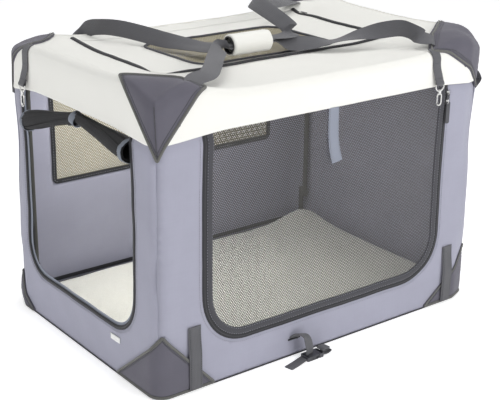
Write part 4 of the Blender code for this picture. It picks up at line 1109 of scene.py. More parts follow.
# %% The top door's binding and zip
def flat_line(points, surface, gap, closed=True, step=0.008):
    """A flat outline laid on a surface, with the surface's outward direction beside it."""
    line = spaced(points, step, closed)
    here = surface(line[:, 0], line[:, 1], gap)
    lift = surface(line[:, 0], line[:, 1], gap + 0.002)
    out = lift - here
    return here, out / np.linalg.norm(out, axis=1, keepdims=True)


half = LOOK_BIND / 2
frame_line = rounded(*inset_sides(*LOOK_OUT, half), LOOK_R - half, 12)
line, out = flat_line(frame_line, on_top, -0.0014)
top_bind = swept("top_window_binding", line, out, tape(LOOK_BIND, 0.0030, 4, 0.0008), BINDING,
                 "top_door", "binding", closed=True)
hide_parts("top_door_binding")
line, out = flat_line(frame_line, on_top, 0.0018)
stitches("top_window_thread", line, out, THREAD, "top_door", pitch=0.007, long=0.004)

# The zip's tape runs into the cloth at the front left corner, where the cover folds over it.
HIDDEN_AT, HIDDEN_REACH, HIDDEN_SHARE = (0.010, 0.012), 0.042, 0.9
line, out = flat_line(flap(DOOR_ZIP / 2), on_top, -0.0006, closed=False)
covered = bell(np.hypot(line[:, 0] - DOOR_TOP[0] - HIDDEN_AT[0],
                        line[:, 1] - DOOR_TOP[2] - HIDDEN_AT[1]), HIDDEN_REACH)
flat_tape = np.array(tape(DOOR_ZIP + 0.003, 0.0020, 6, 0.0018))
shaped = np.stack([flat_tape * (1 - HIDDEN_SHARE * c) - (0, 0.0016 * c) for c in covered])
top_zip = swept("top_zip_tape", line, out, shaped, ZIP, "top", "zip_tape")
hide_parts("top_door_zip")
print("zip points:", len(line))

# %% [markdown]
# ## Corner patches
# Each patch is a charcoal piece pulled over a corner, from three or four tips. It is cut flat
# between its tips and then pushed out until it meets the skin, so its edges stay straight and its
# middle stands up like a low pyramid. It is slightly stuffed. The patch nearest the camera also
# has seams that meet on the corner.
# %% Patch outlines
def filleted(points, radii, n=6):
    """A flat polygon with its corners rounded."""
    points = [np.array(p, float) for p in points]
    out = []
    for k, (p, r) in enumerate(zip(points, radii)):
        a, b = points[k - 1] - p, points[(k + 1) % len(points)] - p
        a, b = a / np.linalg.norm(a), b / np.linalg.norm(b)
        half = math.acos(float(np.clip(a @ b, -1, 1))) / 2
        reach = r / math.tan(half)
        centre = p + (a + b) / np.linalg.norm(a + b) * r / math.sin(half)
        first, last = p + a * reach - centre, p + b * reach - centre
        turn = math.atan2(first[0] * last[1] - first[1] * last[0], first @ last)
        for i in range(n + 1):
            c, s = math.cos(turn * i / n), math.sin(turn * i / n)
            out.append(centre + (c * first[0] - s * first[1], s * first[0] + c * first[1]))
    return out


def segment_gap(flat, line):
    """How far flat places are from a line of points."""
    near = np.full(len(flat), 1e9)
    for a, b in zip(line[:-1], line[1:]):
        t = np.clip(((flat - a) @ (b - a)) / max((b - a) @ (b - a), 1e-12), 0, 1)
        near = np.minimum(near, np.linalg.norm(flat - a - t[:, None] * (b - a), axis=1))
    return near


print("points in a rounded triangle:", len(filleted([(0, 0), (1, 0), (0, 1)], [0.1] * 3)))

# %% A patch between its tips
SEAM_RISE, SEAM_WIDE = 0.0026, 0.0055
PATCH_GAP, PATCH_FOLDS, STUFFED_FROM = 0.0016, 0.0014, 0.016
PUSHES = 26


class Patch:
    """A flat piece between its tips, and how any place in it is pushed out to the skin."""

    def __init__(self, tips, push, puff, seed, skin, ridges=()):
        self.tips = np.array(tips, float)
        self.push = np.array(push, float) / np.linalg.norm(push)
        self.puff, self.seed, self.skin = puff, seed, skin
        self.x = (self.tips[1] - self.tips[0]) / np.linalg.norm(self.tips[1] - self.tips[0])
        side = self.tips[-1] - self.tips[0]
        self.y = side - self.x * (side @ self.x)
        self.y /= np.linalg.norm(self.y)
        self.flat = self.flatten(self.tips)
        self.ridges = [self.flatten(line) for line in ridges]

    def flatten(self, points):
        """Flat places of points, looking along the push."""
        away = np.atleast_2d(points) - self.tips[0]
        turn = np.linalg.inv(np.stack([self.x, self.y, self.push], 1))
        return (away @ turn.T)[:, :2]

    def edge_gap(self, flat):
        """How far flat places are from the nearest edge."""
        near = []
        for a, b in zip(self.flat, np.roll(self.flat, -1, 0)):
            d = (b - a) / np.linalg.norm(b - a)
            near.append(np.abs((flat[:, 0] - a[0]) * d[1] - (flat[:, 1] - a[1]) * d[0]))
        return np.min(near, 0)

    def place(self, flat, gap=0.0):
        flat = np.atleast_2d(flat)
        p = self.tips[0] + flat[:, :1] * self.x + flat[:, 1:2] * self.y
        stuffed = self.puff * (1 - np.exp(-self.edge_gap(flat) / STUFFED_FROM))
        folds = PATCH_FOLDS * drift(np.column_stack([flat, 0 * flat[:, 0]]), 0.035, self.seed)
        for line in self.ridges:
            folds = folds + SEAM_RISE * bell(segment_gap(flat, line), SEAM_WIDE)
        want = PATCH_GAP + gap + stuffed + folds * smooth(self.edge_gap(flat), 0.0, 0.015)
        for _ in range(PUSHES):
            p = p + self.push * (want - self.skin(p))[:, None]
        return p


print("each place is pushed", PUSHES, "times")


# %% Sewing a patch
def edge_line(patch, radii, inset, step=0.006):
    """A patch's outline, drawn in by a margin."""
    loop = np.array(filleted(patch.flat, radii))
    middle = patch.flat.mean(0)
    inner = []
    for a, b, c in zip(np.roll(loop, 1, 0), loop, np.roll(loop, -1, 0)):
        d = (c - a) / max(np.linalg.norm(c - a), 1e-9)
        n = np.array([-d[1], d[0]])
        inner.append(b + n * inset * np.sign(n @ (middle - b)))
    return spaced(inner, step)


def sew_patch(name, node, patch, radii, body):
    """Cuts a patch, stitches its edging on, and returns all its pieces."""
    def rim(inset, gap, above):
        line = edge_line(patch, radii, inset)
        here = patch.place(line, gap)
        return here, patch.place(line, above) - here

    flat, faces = net([edge_line(patch, radii, 0.0)], 0.0055)
    points = patch.place(flat)
    made = points[faces]
    up = np.cross(made[:, 1] - made[:, 0], made[:, 2] - made[:, 0]).sum(0)
    if up @ patch.push < 0:
        faces = faces[:, ::-1]
    piece = cloth(name, points, faces, flat, CHARCOAL, body, thick=0.0018)
    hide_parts(node)
    edging = swept(name + "_edging", *rim(0.0030, -0.0006, 0.002),
                   tape(0.0072, 0.0022, 4, 0.0006), EDGING, body, closed=True)
    groove = swept(name + "_groove", *rim(0.0078, -0.0002, 0.002), cord(0.0008, 6), DARK_THREAD,
                   body, closed=True)
    thread = stitches(name + "_thread", *rim(0.0040, 0.0020, 0.004), DARK_THREAD, body, 0.0045,
                      0.003)
    return [piece, edging, groove, thread]


print("pieces in a patch: its cloth, edging, groove and thread")

# %% Top patches
# For each corner: its signs in x and y, how far the patch reaches along x, along y and down,
# how far in its inner tip lies, and how much it is stuffed.
TOP_TIPS = {"front_left": (-1, -1, 0.133, 0.138, 0.120, (0.106, 0.058), 0.0028),
            "front_right": (1, -1, 0.184, 0.160, 0.104, (0.122, 0.085), 0.0034),
            "back_left": (-1, 1, 0.135, 0.125, 0.116, (0.104, 0.055), 0.0010),
            "back_right": (1, 1, 0.135, 0.125, 0.116, (0.104, 0.055), 0.0020)}
TOP_RADII = (0.005, 0.012, 0.004, 0.004)
NEAR_TIP_IN = 0.007


def skin_gap(p):
    """How far points are outside the eased skin."""
    return depth(p) - ease(p)


for k, (place, (sx, sy, ax, ay, az, inner, puff)) in enumerate(TOP_TIPS.items()):
    near = place == "front_left"
    tips = [(sx * (HALF_X - ax), sy * (HALF_Y - 0.004), TOP + 0.022),
            (sx * (HALF_X - inner[0]), sy * (HALF_Y - inner[1]), TOP + 0.04),
            (sx * (HALF_X - 0.006), sy * (HALF_Y - ay), TOP + 0.042),
            (sx * (HALF_X - NEAR_TIP_IN * near), sy * HALF_Y, TOP - az)]
    tips = settle(tips, PATCH_GAP)
    apex = settle([(sx * HALF_X, sy * HALF_Y, TOP + 0.02)], 0.0)[0]
    seams = [[apex, tips[3] + (0, 0, 0.02)], [apex, tips[2]], [apex, (tips[0] + tips[1]) / 2]]
    patch = Patch(tips, (sx, sy, 1.0), puff, 11 + k, skin_gap, seams if near else ())
    sew_patch("top_patch_" + place, "pad_top_" + place, patch, TOP_RADII, "top")
    if near:
        start, end = patch.ridges[0]
        row = start + (end - start) * np.linspace(0.10, 0.98, 40)[:, None]
        line, lift = patch.place(row, 0.0004), patch.place(row, 0.004)
        swept("corner_seam", line, lift - line, cord(0.0009, 6), DARK_THREAD, "top")
print("top patches:", len(TOP_TIPS))

# %% Foot patches
# For each corner: its signs, how far the patch reaches along x, along y and up, and its stuffing.
FOOT_TIPS = {"front_left": (-1, -1, 0.145, 0.160, 0.146, 0.0030),
             "front_right": (1, -1, 0.165, 0.140, 0.132, 0.0016),
             "back_left": (-1, 1, 0.145, 0.108, 0.078, 0.0110),
             "back_right": (1, 1, 0.145, 0.140, 0.146, 0.0030)}
FOOT_RADII = (0.005, 0.005, 0.006)
NEAR_FOOT_IN, FOOT_LOW = 0.014, 0.003
MID_WALL = 0.3


def wall_gap(p):
    """How far points are outside the shell, looking level."""
    return depth(np.column_stack([p[:, :2], np.full(len(p), MID_WALL)]))


for k, (place, (sx, sy, ax, ay, az, puff)) in enumerate(FOOT_TIPS.items()):
    near = place == "front_left"
    tips = [(sx * (HALF_X - ax), sy * HALF_Y, FOOT_LOW),
            (sx * HALF_X, sy * (HALF_Y - ay), FOOT_LOW),
            (sx * (HALF_X - NEAR_FOOT_IN * near), sy * HALF_Y, az)]
    level = settle([(t[0], t[1], MID_WALL) for t in tips], PATCH_GAP)
    tips = [(q[0], q[1], t[2]) for q, t in zip(level, tips)]
    patch = Patch(tips, (sx, sy, 0.0), puff, 21 + k, wall_gap)
    fold_down(*sew_patch("foot_patch_" + place, "pad_foot_" + place, patch, FOOT_RADII, "base"))
print("foot patches:", len(FOOT_TIPS))

# %% [markdown]
# ## The front door
# The front doorway is closed by a mesh door with a wide charcoal binding. A black zip runs up
# one side, along the bottom and up the other. All of this lies on the wall, so each line is drawn
# flat and then laid by the same wall shape as the cloth.
# %% Lines on a wall
DOOR_EDGE, DOOR_BIND = 0.0075, 0.0165
DOOR_HIGH = BAND + 0.011


def wall_cup(hole, inset, top, n=14):
    """A doorway's outline, drawn in by a margin."""
    x0, x1, z0, r = hole
    return cup(x0 + inset, x1 - inset, z0 + inset, top, r - inset, n)


def wall_line(side, points, gap, closed=False):
    """A flat line laid on a wall, with the direction out of it."""
    return flat_line(points, lambda a, z, gap: on_wall(side, a, z, gap), gap, closed)


print("the front door's height:", round(DOOR_HIGH - DOOR[2], 3), "m")

# %% The front door's mesh and binding
NET_IN, SEAM_IN = 0.018, 0.0025
door_size = (DOOR[1] - DOOR[0] - 0.030, DOOR_HIGH - DOOR[2] - 0.015)
flat, faces = net([spaced(wall_cup(DOOR, NET_IN, DOOR_HIGH, 12), 0.010)], 0.012)
door_net = cloth("front_door_net", on_wall("front", flat[:, 0], flat[:, 1], -0.0012), faces, flat,
                 DARK_MESH, "front_door")
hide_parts("front_door_mesh")
declare(door_net, flat, faces, door_size, ["top_frame"])
line, out = wall_line("front", wall_cup(DOOR, DOOR_EDGE + DOOR_BIND / 2, DOOR_HIGH), -0.0012)
door_bind = swept("front_door_edge", line, out, tape(DOOR_BIND, 0.0026, 6, 0.0008), BINDING,
                  "front_door", "binding")
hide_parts("front_door_binding")
fold_down(door_net, door_bind)
for inset in (DOOR_EDGE + SEAM_IN, DOOR_EDGE + DOOR_BIND - SEAM_IN):
    line, out = wall_line("front", wall_cup(DOOR, inset, DOOR_HIGH), 0.0015)
    fold_down(stitches("front_door_thread", line, out, THREAD, "front_door", 0.0062, 0.0036))
print("front door net:", len(flat), "points")

# %% The front zip
line, out = wall_line("front", wall_cup(DOOR, DOOR_EDGE / 2, DOOR_HIGH), -0.0005)
front_zip = swept("front_zip_tape", line, out, tape(DOOR_EDGE + 0.004, 0.0013, 6, 0.0010), ZIP,
                  "base", "zip_tape")
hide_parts("front_door_zip")
line, out = wall_line("front", wall_cup(DOOR, -0.008, BAND), 0.0003)
wall_thread = stitches("front_wall_thread", line, out, THREAD, "base", 0.0055, 0.0036, 0.0005)
fold_down(front_zip, wall_thread)
print("front wall stitches:", len(wall_thread.data.vertices) // (4 * len(STITCH)))

# %% [markdown]
# ## The left doorway and the back wall
# The left doorway is open: it has its zip, a row of stitches, and a facing of lining cloth inside.
# What the two doorways show of the back wall is a black binding beside the mat, and a beige mesh
# window with a black binding on both sides.
# %% The left doorway
SIDE_HIGH = WALL_TOP - 0.004
line, out = wall_line("left", wall_cup(SIDE, 0.003, SIDE_HIGH), -0.0006)
left_zip = swept("left_zip_tape", line, out, tape(0.0095, 0.0013, 6, 0.0012), ZIP, "base",
                 "zip_tape")
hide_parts("left_door_zip")
line, out = wall_line("left", wall_cup(SIDE, -0.007, BAND), 0.0003)
side_thread = stitches("left_wall_thread", line, out, THREAD, "base", 0.0055, 0.0036, 0.0005)
line, out = wall_line("left", wall_cup(SIDE, 0.0075, SIDE_HIGH), -0.0034)
facing = swept("left_door_facing", line, out, tape(0.012, 0.0012, 4), LINING, "base")
fold_down(left_zip, side_thread, facing)
print("side doorway:", round(SIDE[1] - SIDE[0], 3), "m wide")

# %% The floor binding
BINDING_DROP, BINDING_END = 0.018, 0.075
mat_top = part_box("fleece_mat")[1].z
reach, level = HALF_X - BINDING_END, mat_top - BINDING_DROP
line, out = wall_line("back", [(-reach, level), (reach, level)], -0.0046)
fold_down(swept("floor_binding", line, out, tape(0.0100, 0.0016, 4, 0.0005), BLACK_BINDING,
                "base"))
print("floor binding:", round(2 * reach, 3), "m")

# %% The back window
WINDOW_LAP, WINDOW_SEAM = 0.004, 0.003
wx0, wx1, wz0, wz1, wr = WINDOW


def window_line(by, n=10):
    return rounded(*inset_sides(wx0, wx1, wz0, wz1, by), wr - by, n)


flat, faces = net([spaced(window_line(WINDOW_LAP), 0.011)], 0.013)
back_net = cloth("back_window_net", on_wall("back", flat[:, 0], flat[:, 1], -0.0012), faces, flat,
                 PALE_MESH, "base")
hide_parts("back_window_mesh")
declare(back_net, flat, faces, (wx1 - wx0, wz1 - wz0), ["top_frame"])
fold_down(back_net)
for name, gap, node in (("back_window_edge", -0.0008, "back_window_binding"),
                        ("back_window_facing", -0.0046, None)):
    line, out = wall_line("back", window_line(WINDOW_LAP), gap, True)
    piece = swept(name, line, out, tape(0.011, 0.0022, 4, 0.0006), BLACK_BINDING, "base",
                  "binding", closed=True)
    if node:
        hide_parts(node)
    fold_down(piece)
for gap in (0.0018, -0.0050):
    line, out = wall_line("back", window_line(WINDOW_SEAM), gap, True)
    fold_down(stitches("back_window_thread", line, out, THREAD, "base", 0.0065, 0.004))
print("back window:", round(wx1 - wx0, 3), "by", round(wz1 - wz0, 3), "m")

# %% [markdown]
# ## Floor, label and front tabs
# The floor is a stiff panel in lining cloth, and black piping marks the foot of the walls. Small
# things follow the wall's own shape too: a bare white tag near the left corner, and two webbing
# tabs that cross the front patches.
# %% Floor and piping
FLOOR_IN, PIPING_R, PIPING_HIGH = 0.004, 0.0016, 0.0026
inner = inset_sides(-HALF_X, HALF_X, -HALF_Y, HALF_Y, FLOOR_IN)
flat, faces = net([spaced(rounded(*inner, CORNER - FLOOR_IN, 12), 0.014)], 0.016)
floor_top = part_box("floor_panel")[1].z - 0.0004
floor_z = floor_top + 0.0003 * drift(np.column_stack([flat, 0 * flat[:, 0]]), 0.05, 31)
floor_cloth = cloth("floor_cloth", np.column_stack([flat, floor_z]), faces, flat, LINING, "base",
                    thick=0.0025)
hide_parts("floor_panel")
declare(floor_cloth, flat, faces, (2 * HALF_X, 2 * HALF_Y), ["bottom_frame"])
around = round_plan()
line = np.array([settle([(x, y, MID_WALL)], 0.0008)[0] * (1, 1, 0) + (0, 0, PIPING_HIGH)
                 for x, y in around])
out = outward(np.column_stack([around, 0 * around[:, 0] + MID_WALL]))
swept("foot_piping", line, out, cord(PIPING_R), BLACK_BINDING, "base", closed=True)
print("floor:", len(flat), "points; piping:", len(line))

# %% The bare label and the two tabs
FRONT = [0, -1.0, 0]
low_label, high_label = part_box("bare_label")
zs = np.linspace(low_label.z, high_label.z, 5)
ys = np.linspace(low_label.y, high_label.y, 9)
grid = np.array([[on_wall("left", -y, z, 0.0006 + 0.0006 * abs(k - 2) / 2) for y in ys]
                 for k, z in enumerate(zs)])
points, faces, sewn = woven_grid(grid)
label = cloth("bare_tag", points, faces, sewn, TAG, "base", thick=0.0006)
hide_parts("bare_label")
for side in ("left", "right"):
    low_tab, high_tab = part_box("front_tab_" + side)
    middle = (low_tab.x + high_tab.x) / 2
    line = []
    for z in np.linspace(0.008, high_tab.z - 0.002, 24):
        over_patch = 0.0050 * (1 - smooth(z, 0.075, 0.135))
        line.append(on_wall("front", middle, z, 0.0012 + over_patch))
    line = np.array(line)
    out = np.tile(FRONT, (len(line), 1))
    tab = swept("front_strap_" + side, line, out, tape(high_tab.x - low_tab.x, 0.0022, 6, 0.0003),
                WEBBING, "base", "webbing")
    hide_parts("front_tab_" + side)
    for dx in (-0.012, 0.012):
        stitches("tab_thread_" + side, line + (dx, -0.0024, 0), out, DARK_THREAD, "base", 0.005,
                 0.0034)
    print(side, "tab:", round(high_tab.z, 3), "m tall")

# %% [markdown]
# ## Webbing
# The carrying straps, the two lock straps, the end loop and the packing strap are one kind of
# charcoal webbing, a flat section swept along a smooth line. A strap also twists, so each point
# of its line is given with the direction of its width, and both are smoothed together.
# %% Straps that twist
WEB_T, HANDLE_W, LOCK_W = 0.0022, 0.037, 0.024


def strap(name, points, sides, width, finish, body, slot="webbing", gap=0.005, seat=None):
    """Webbing along a smooth line, with its width along the given sides."""
    both = np.column_stack([np.asarray(points, float), np.asarray(sides, float)])
    line = curve(both, gap)
    path, side = line[:, :3], line[:, 3:]
    if seat:
        path = seat(path)
    ahead = np.gradient(path, axis=0)
    ahead /= np.linalg.norm(ahead, axis=1, keepdims=True)
    out = np.cross(ahead, side)
    flat = [(a, b - WEB_T / 2) for a, b in tape(width, WEB_T, 6)]
    return swept(name, path, out, flat, finish, body, slot), path, out


print("webbing:", HANDLE_W, "m wide on the handle and", LOCK_W, "m on the locks")

# %% [markdown]
# ## The carrying straps
# Four straps run from the corners to the padded grip, two on each side, and inside the grip they
# go on as two layers. Loose webbing has a shape that no rule gives, so each route is read off the
# photo as a row of points, each with the direction of the width there. The route is then lifted
# wherever it would lie in the cover.
# %% The carrying straps
GRIP_CUT, GRIP_RUN = 0.010, 0.016
low_grip, high_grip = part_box("handle_grip")
GRIP = (low_grip + high_grip) / 2
high_grip.x -= GRIP_CUT
GRIP.x -= GRIP_CUT / 2
GRIP_LONG, GRIP_R = high_grip.x - low_grip.x, (high_grip.z - low_grip.z) / 2
out_l, out_r = low_grip.x - GRIP_RUN, high_grip.x + GRIP_RUN
LOW_WEB, HIGH_WEB = GRIP.z - WEB_T, GRIP.z + WEB_T


def over_cover(path):
    """Lifts webbing that would lie in the cover, and leaves its end low, under the patch."""
    along = np.concatenate([[0], np.cumsum(np.linalg.norm(np.diff(path, axis=0), axis=1))])
    gap = 0.0004 + 0.0032 * smooth(along, 0.014, 0.036)
    free = settle(path, 0.0, free=True)
    return free + outward(free) * np.maximum(gap - depth(free), 0)[:, None]


print("grip:", round(GRIP_LONG, 3), "m long, radius", round(GRIP_R, 4), "m")

# %% Their routes
# Each row is a point and the direction of the width there; x, y, z, then three parts of a vector.
FRONT_END_Y, BACK_END_Y = -0.082, -0.078
routes = {
    "front_left": [(-0.356, -0.292, 0.640, 0.58, -0.75, -0.32),
                   (-0.340, -0.281, 0.6465, 0.58, -0.75, -0.32),
                   (-0.304, -0.271, 0.649, 0.58, -0.75, -0.32),
                   (-0.267, -0.235, 0.652, 0.60, -0.72, -0.25),
                   (-0.237, -0.200, 0.654, 0.80, -0.59, -0.12),
                   (-0.178, -0.132, 0.653, 0.93, 0.22, -0.30),
                   (-0.148, -0.098, 0.650, 0.75, 0.60, -0.30),
                   (out_l, FRONT_END_Y, LOW_WEB, 0, 1, 0)],
    "front_right": [(0.311, -0.2745, 0.6385, 0.57, 0.64, 0.30),
                    (0.302, -0.270, 0.644, 0.57, 0.64, 0.36),
                    (0.287, -0.262, 0.647, 0.50, 0.50, 0.60),
                    (0.280, -0.236, 0.657, -0.1, 0.1, 1.0),
                    (0.268, -0.212, 0.662, 0.0, 0.1, 1.0),
                    (0.241, -0.184, 0.656, 0.1, 0.3, 0.75),
                    (0.205, -0.155, 0.646, 0.3, 0.7, 0.40),
                    (0.142, -0.134, 0.634, 0.45, 0.85, -0.05),
                    (0.091, -0.111, 0.632, 0.30, 0.7, 0.55),
                    (0.045, -0.092, 0.634, 0.10, 0.6, 0.75),
                    (out_r, FRONT_END_Y, LOW_WEB, 0, 1, 0)],
    "back_left": [(-0.280, 0.313, 0.588, 0, 0, 1),
                  (-0.264, 0.3165, 0.597, 0, 0, 1),
                  (-0.250, 0.312, 0.612, 0, 0.1, 1),
                  (-0.2456, 0.287, 0.634, 0, -0.2, 0.95),
                  (-0.238, 0.240, 0.645, 0, -0.4, 0.88),
                  (-0.219, 0.189, 0.648, 0.20, 0, 0.96),
                  (-0.190, 0.143, 0.641, 0.35, 0.11, 0.92),
                  (-0.169, 0.090, 0.635, 0.45, 0.30, 0.80),
                  (-0.151, 0.045, 0.633, 0.50, 0.65, 0.50),
                  (-0.139, -0.010, 0.634, 0.45, 0.85, 0.20),
                  (-0.134, -0.055, 0.640, 0.2, 1, 0),
                  (out_l, BACK_END_Y, HIGH_WEB, 0, 1, 0)],
    "back_right": [(HALF_X - 0.105, HALF_Y - 0.048, 0.640, 0.2, 1, 0),
                   (0.300, 0.235, 0.648, 0.3, 0.9, 0.1),
                   (0.200, 0.180, 0.668, 0.5, 0.6, 0.4),
                   (0.125, 0.130, 0.690, 0.7, 0.2, 0.6),
                   (0.088, 0.098, 0.694, 0.7, 0.0, 0.7),
                   (0.074, 0.050, 0.690, 0.70, -0.17, 0.66),
                   (0.072, -0.010, 0.676, 0.74, -0.15, 0.62),
                   (0.078, -0.046, 0.660, 0.6, 0.4, 0.6),
                   (0.066, -0.072, 0.650, 0.3, 0.9, 0.3),
                   (0.040, -0.080, 0.648, 0, 1, 0.1),
                   (out_r, BACK_END_Y, HIGH_WEB, 0, 1, 0)]}
for place, route in routes.items():
    route = np.array(route)
    piece, path, out = strap("handle_strap_" + place, route[:, :3], route[:, 3:], HANDLE_W,
                             WEBBING, None, seat=over_cover)
    if place.endswith("left"):
        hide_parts(place.split("_")[0] + "_handle_web")
    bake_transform(piece)
for row, y, z in (("front", FRONT_END_Y, LOW_WEB), ("back", BACK_END_Y, HIGH_WEB)):
    strap("handle_strap_in_grip_" + row, [(out_l, y, z), (GRIP.x, GRIP.y, z), (out_r, y, z)],
          [(0, 1, 0)] * 3, HANDLE_W - 0.003, WEBBING, "handle")
print("handle straps:", len(routes))

# %% [markdown]
# ## The padded grip
# The grip is cream cloth wrapped round the straps and closed by a seam on top, with a dark edge at
# each end. It is a tube of rings: the radius changes a little along it, and six faint flats run
# round it where the folded webbing inside presses.
# %% The padded grip
GRIP_STEPS, FLATS, FLAT_DEEP = 40, 6, 0.045
# Places along the grip, as shares of its length, and the radius there.
GRIP_RINGS = [(-0.5, 0.90), (-0.497, 0.985), (-0.46, 1.0), (-0.3, 0.985), (-0.1, 0.995),
              (0.1, 0.99), (0.3, 0.985), (0.46, 1.0), (0.497, 0.985), (0.5, 0.90)]
rings = []
for x, r in GRIP_RINGS:
    ring = []
    for k in range(GRIP_STEPS):
        a = 2 * math.pi * k / GRIP_STEPS
        flat_side = 1 - FLAT_DEEP * (0.5 - 0.5 * math.cos(FLATS * a + 0.6))
        radius = GRIP_R * r * flat_side
        ring.append((GRIP.x + x * GRIP_LONG, GRIP.y + radius * math.cos(a),
                     GRIP.z + radius * math.sin(a)))
    rings.append(ring)
points, faces, sewn = woven_grid(np.array([r + r[:1] for r in rings])[:, ::-1])
grip = cloth("handle_wrap", points, faces, sewn, CREAM, "handle", thick=0.0030)
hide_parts("handle_grip")
print("grip wrap:", len(points), "points")

# %% The grip's edges and seam
EDGE_STEPS, EDGE_SHARE = 36, 0.88
grip_tape = [(-0.004, -0.002), (0.004, -0.002), (0.004, 0.0005), (-0.004, 0.0005)]
for end, x in (("left", low_grip.x), ("right", high_grip.x)):
    turn = np.linspace(0, 2 * math.pi, EDGE_STEPS, endpoint=False)
    ring = np.column_stack([np.full(EDGE_STEPS, x), GRIP.y + GRIP_R * EDGE_SHARE * np.cos(turn),
                            GRIP.z + GRIP_R * EDGE_SHARE * np.sin(turn)])
    away = ring - np.array([x, GRIP.y, GRIP.z])
    swept("grip_edge_" + end, ring, away, grip_tape, BLACK_BINDING, "handle", closed=True)
xs = np.linspace(low_grip.x + 0.003, high_grip.x - 0.003, 30)
seam = np.column_stack([xs, np.full(len(xs), GRIP.y - 0.004),
                        np.full(len(xs), GRIP.z + GRIP_R * 0.962)])
up = np.tile([0, -0.2, 1.0], (len(xs), 1))
swept("grip_seam", seam, up, cord(0.0010, 6), CREAM, "handle")
stitches("grip_thread", seam + (0, -0.004, 0.0002), up, WHITE_THREAD, "handle", 0.005, 0.0035)
print("grip seam:", round(float(np.ptp(xs)), 3), "m")

# %% [markdown]
# ## Lock straps, end loop and packing strap
# Each lock strap is sewn into the band and folded through its eye. A loop stands out at the far
# end, and a packing strap comes through a slit low in the front wall and ends in the buckle.
# Their places are measured from a point on the real wall: across it, up, and out of it.
# %% The lock straps
def hung(place, across, out):
    """A way to give places near a wall: across it, up, and out of it."""
    place, across, out = (np.array(v, float) for v in (place, across, out))
    return lambda u, z, n: place + across * u + out * n + (0, 0, z)


EYE_STAND, EYE_HIGH, LEAN = 0.0102, 0.552, -0.006
front_eye, side_eye = (0.291, -HALF_Y - EYE_STAND), (-HALF_X - EYE_STAND, 0.196)
locks = {"front": (hung((*front_eye, EYE_HIGH), (1, 0, 0), (0, -1, 0)), (1, 0, 0)),
         "side": (hung((*side_eye, EYE_HIGH), (0, 1, 0), (-1, 0, 0)), (0, 1, 0))}
# A lock strap from the band down, through the eye and up behind: the share of the lean, the
# height over the eye's middle, and how far it stands out.
LOCK_LINE = [(1, 0.083, -0.0260), (1, 0.072, -0.0110), (0.9, 0.056, -0.0078),
             (0.8, 0.040, -0.0066), (0.3, 0.020, -0.004), (0, 0.008, -0.0012),
             (0, 0.0014, 0.0022), (0, -0.0024, 0.0), (0, 0.0012, -0.0024),
             (0, 0.010, -0.0036), (0.25, 0.016, -0.0056)]


def on_band(path):
    """Lays the upper part of a lock strap on the band, over its rounded edge."""
    share = smooth(path[:, 2], BAND + 0.034, BAND + 0.064)[:, None]
    return path + (settle(path, 0.0022) - path) * share


for which, (at, side) in locks.items():
    line = [at(LEAN * share, z, n) for share, z, n in LOCK_LINE]
    piece, path, out = strap(which + "_lock_strap", line, [side] * len(line), LOCK_W, WEBBING,
                             "top", gap=0.002, seat=on_band)
    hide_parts(which + "_lock_web")
    out = at(0, 0, 1) - at(0, 0, 0)
    for z, n in ((0.014, -0.0006), (0.048, -0.0045)):
        row = np.array([at(u + LEAN * z / 0.05, z, n) for u in np.linspace(-0.009, 0.009, 8)])
        stitches(which + "_lock_thread", row, np.tile(out, (8, 1)), DARK_THREAD, "top", 0.004,
                 0.0028)
print("lock straps:", len(locks))

# %% The end loop
LOOP, LOOP_OUT, LOOP_TALL = (HALF_X + 0.0037, -0.262, 0.532), 0.022, 0.024
bulge = [(0.0, 1.0), (0.55, 0.58), (1.0, -0.17), (0.36, -0.83), (0.0, -1.08)]
line = [(LOOP[0] + p * LOOP_OUT, LOOP[1], LOOP[2] + q * LOOP_TALL) for p, q in bulge]
piece, path, out = strap("end_loop_strap", line, [(0, 1, 0)] * len(line), LOCK_W, WEBBING, "top",
                         gap=0.003)
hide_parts("end_loop_web")
print("end loop:", len(path), "points")

# %% The packing strap
PACK_W, TAIL_W = 0.024, 0.022
low_buckle, high_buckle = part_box("buckle_socket")
bx, by = high_buckle.x, (low_buckle.y + high_buckle.y) / 2
seat = high_buckle.z + 0.0003
line = [(bx - 0.036, -HALF_Y + 0.004, 0.034), (bx - 0.036, -HALF_Y - 0.002, 0.046),
        (bx - 0.032, -HALF_Y - 0.014, 0.056), (bx - 0.022, -HALF_Y - 0.026, 0.050),
        (bx - 0.016, by, seat + 0.014), (bx - 0.016, by, seat + 0.007),
        (bx - 0.016, by, seat + 0.0004)]
twist = [(1, 0, -0.3), (1, 0, -0.3), (1, 0.1, -0.3), (1, 0.2, -0.3), (1, 0.2, 0), (1, 0.2, 0),
         (1, 0.2, 0)]
pack, path, out = strap("packing_strap", line, twist, PACK_W, WEBBING, "base", gap=0.003)
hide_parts("pack_strap")
fold_down(pack)
slit = np.array([(bx - 0.052 + u, -HALF_Y - 0.0004, 0.041) for u in np.linspace(0, 0.032, 9)])
fold_down(swept("strap_slit", slit, np.tile(FRONT, (len(slit), 1)), cord(0.0022), BLACK_BINDING,
                "base"))
print("packing strap:", len(path), "points")

# %% The straps at the buckle
tail = [(bx - 0.0285, by, 0.0050), (bx - 0.038, by - 0.001, 0.0032),
        (bx - 0.060, by - 0.006, 0.0016), (bx - 0.085, by - 0.012, 0.0016)]
fold = [(bx + 0.0095, by, 0.0054), (bx + 0.017, by, 0.0042), (bx + 0.032, by + 0.003, 0.0024),
        (bx + 0.040, by + 0.004, 0.0050), (bx + 0.036, by + 0.004, 0.0088),
        (bx + 0.022, by + 0.002, 0.0100), (bx + 0.013, by, 0.0128), (bx + 0.017, by, 0.0158),
        (bx + 0.034, by + 0.004, 0.0140)]
for name, line, body, gap in (("strap_tail", tail, "base", 0.004),
                              ("folded_strap", fold, "buckle_plug", 0.002)):
    strap(name, line, [(0, 1, 0)] * len(line), TAIL_W, WEBBING, body, slot=None, gap=gap)
print("straps at the buckle:", 2)

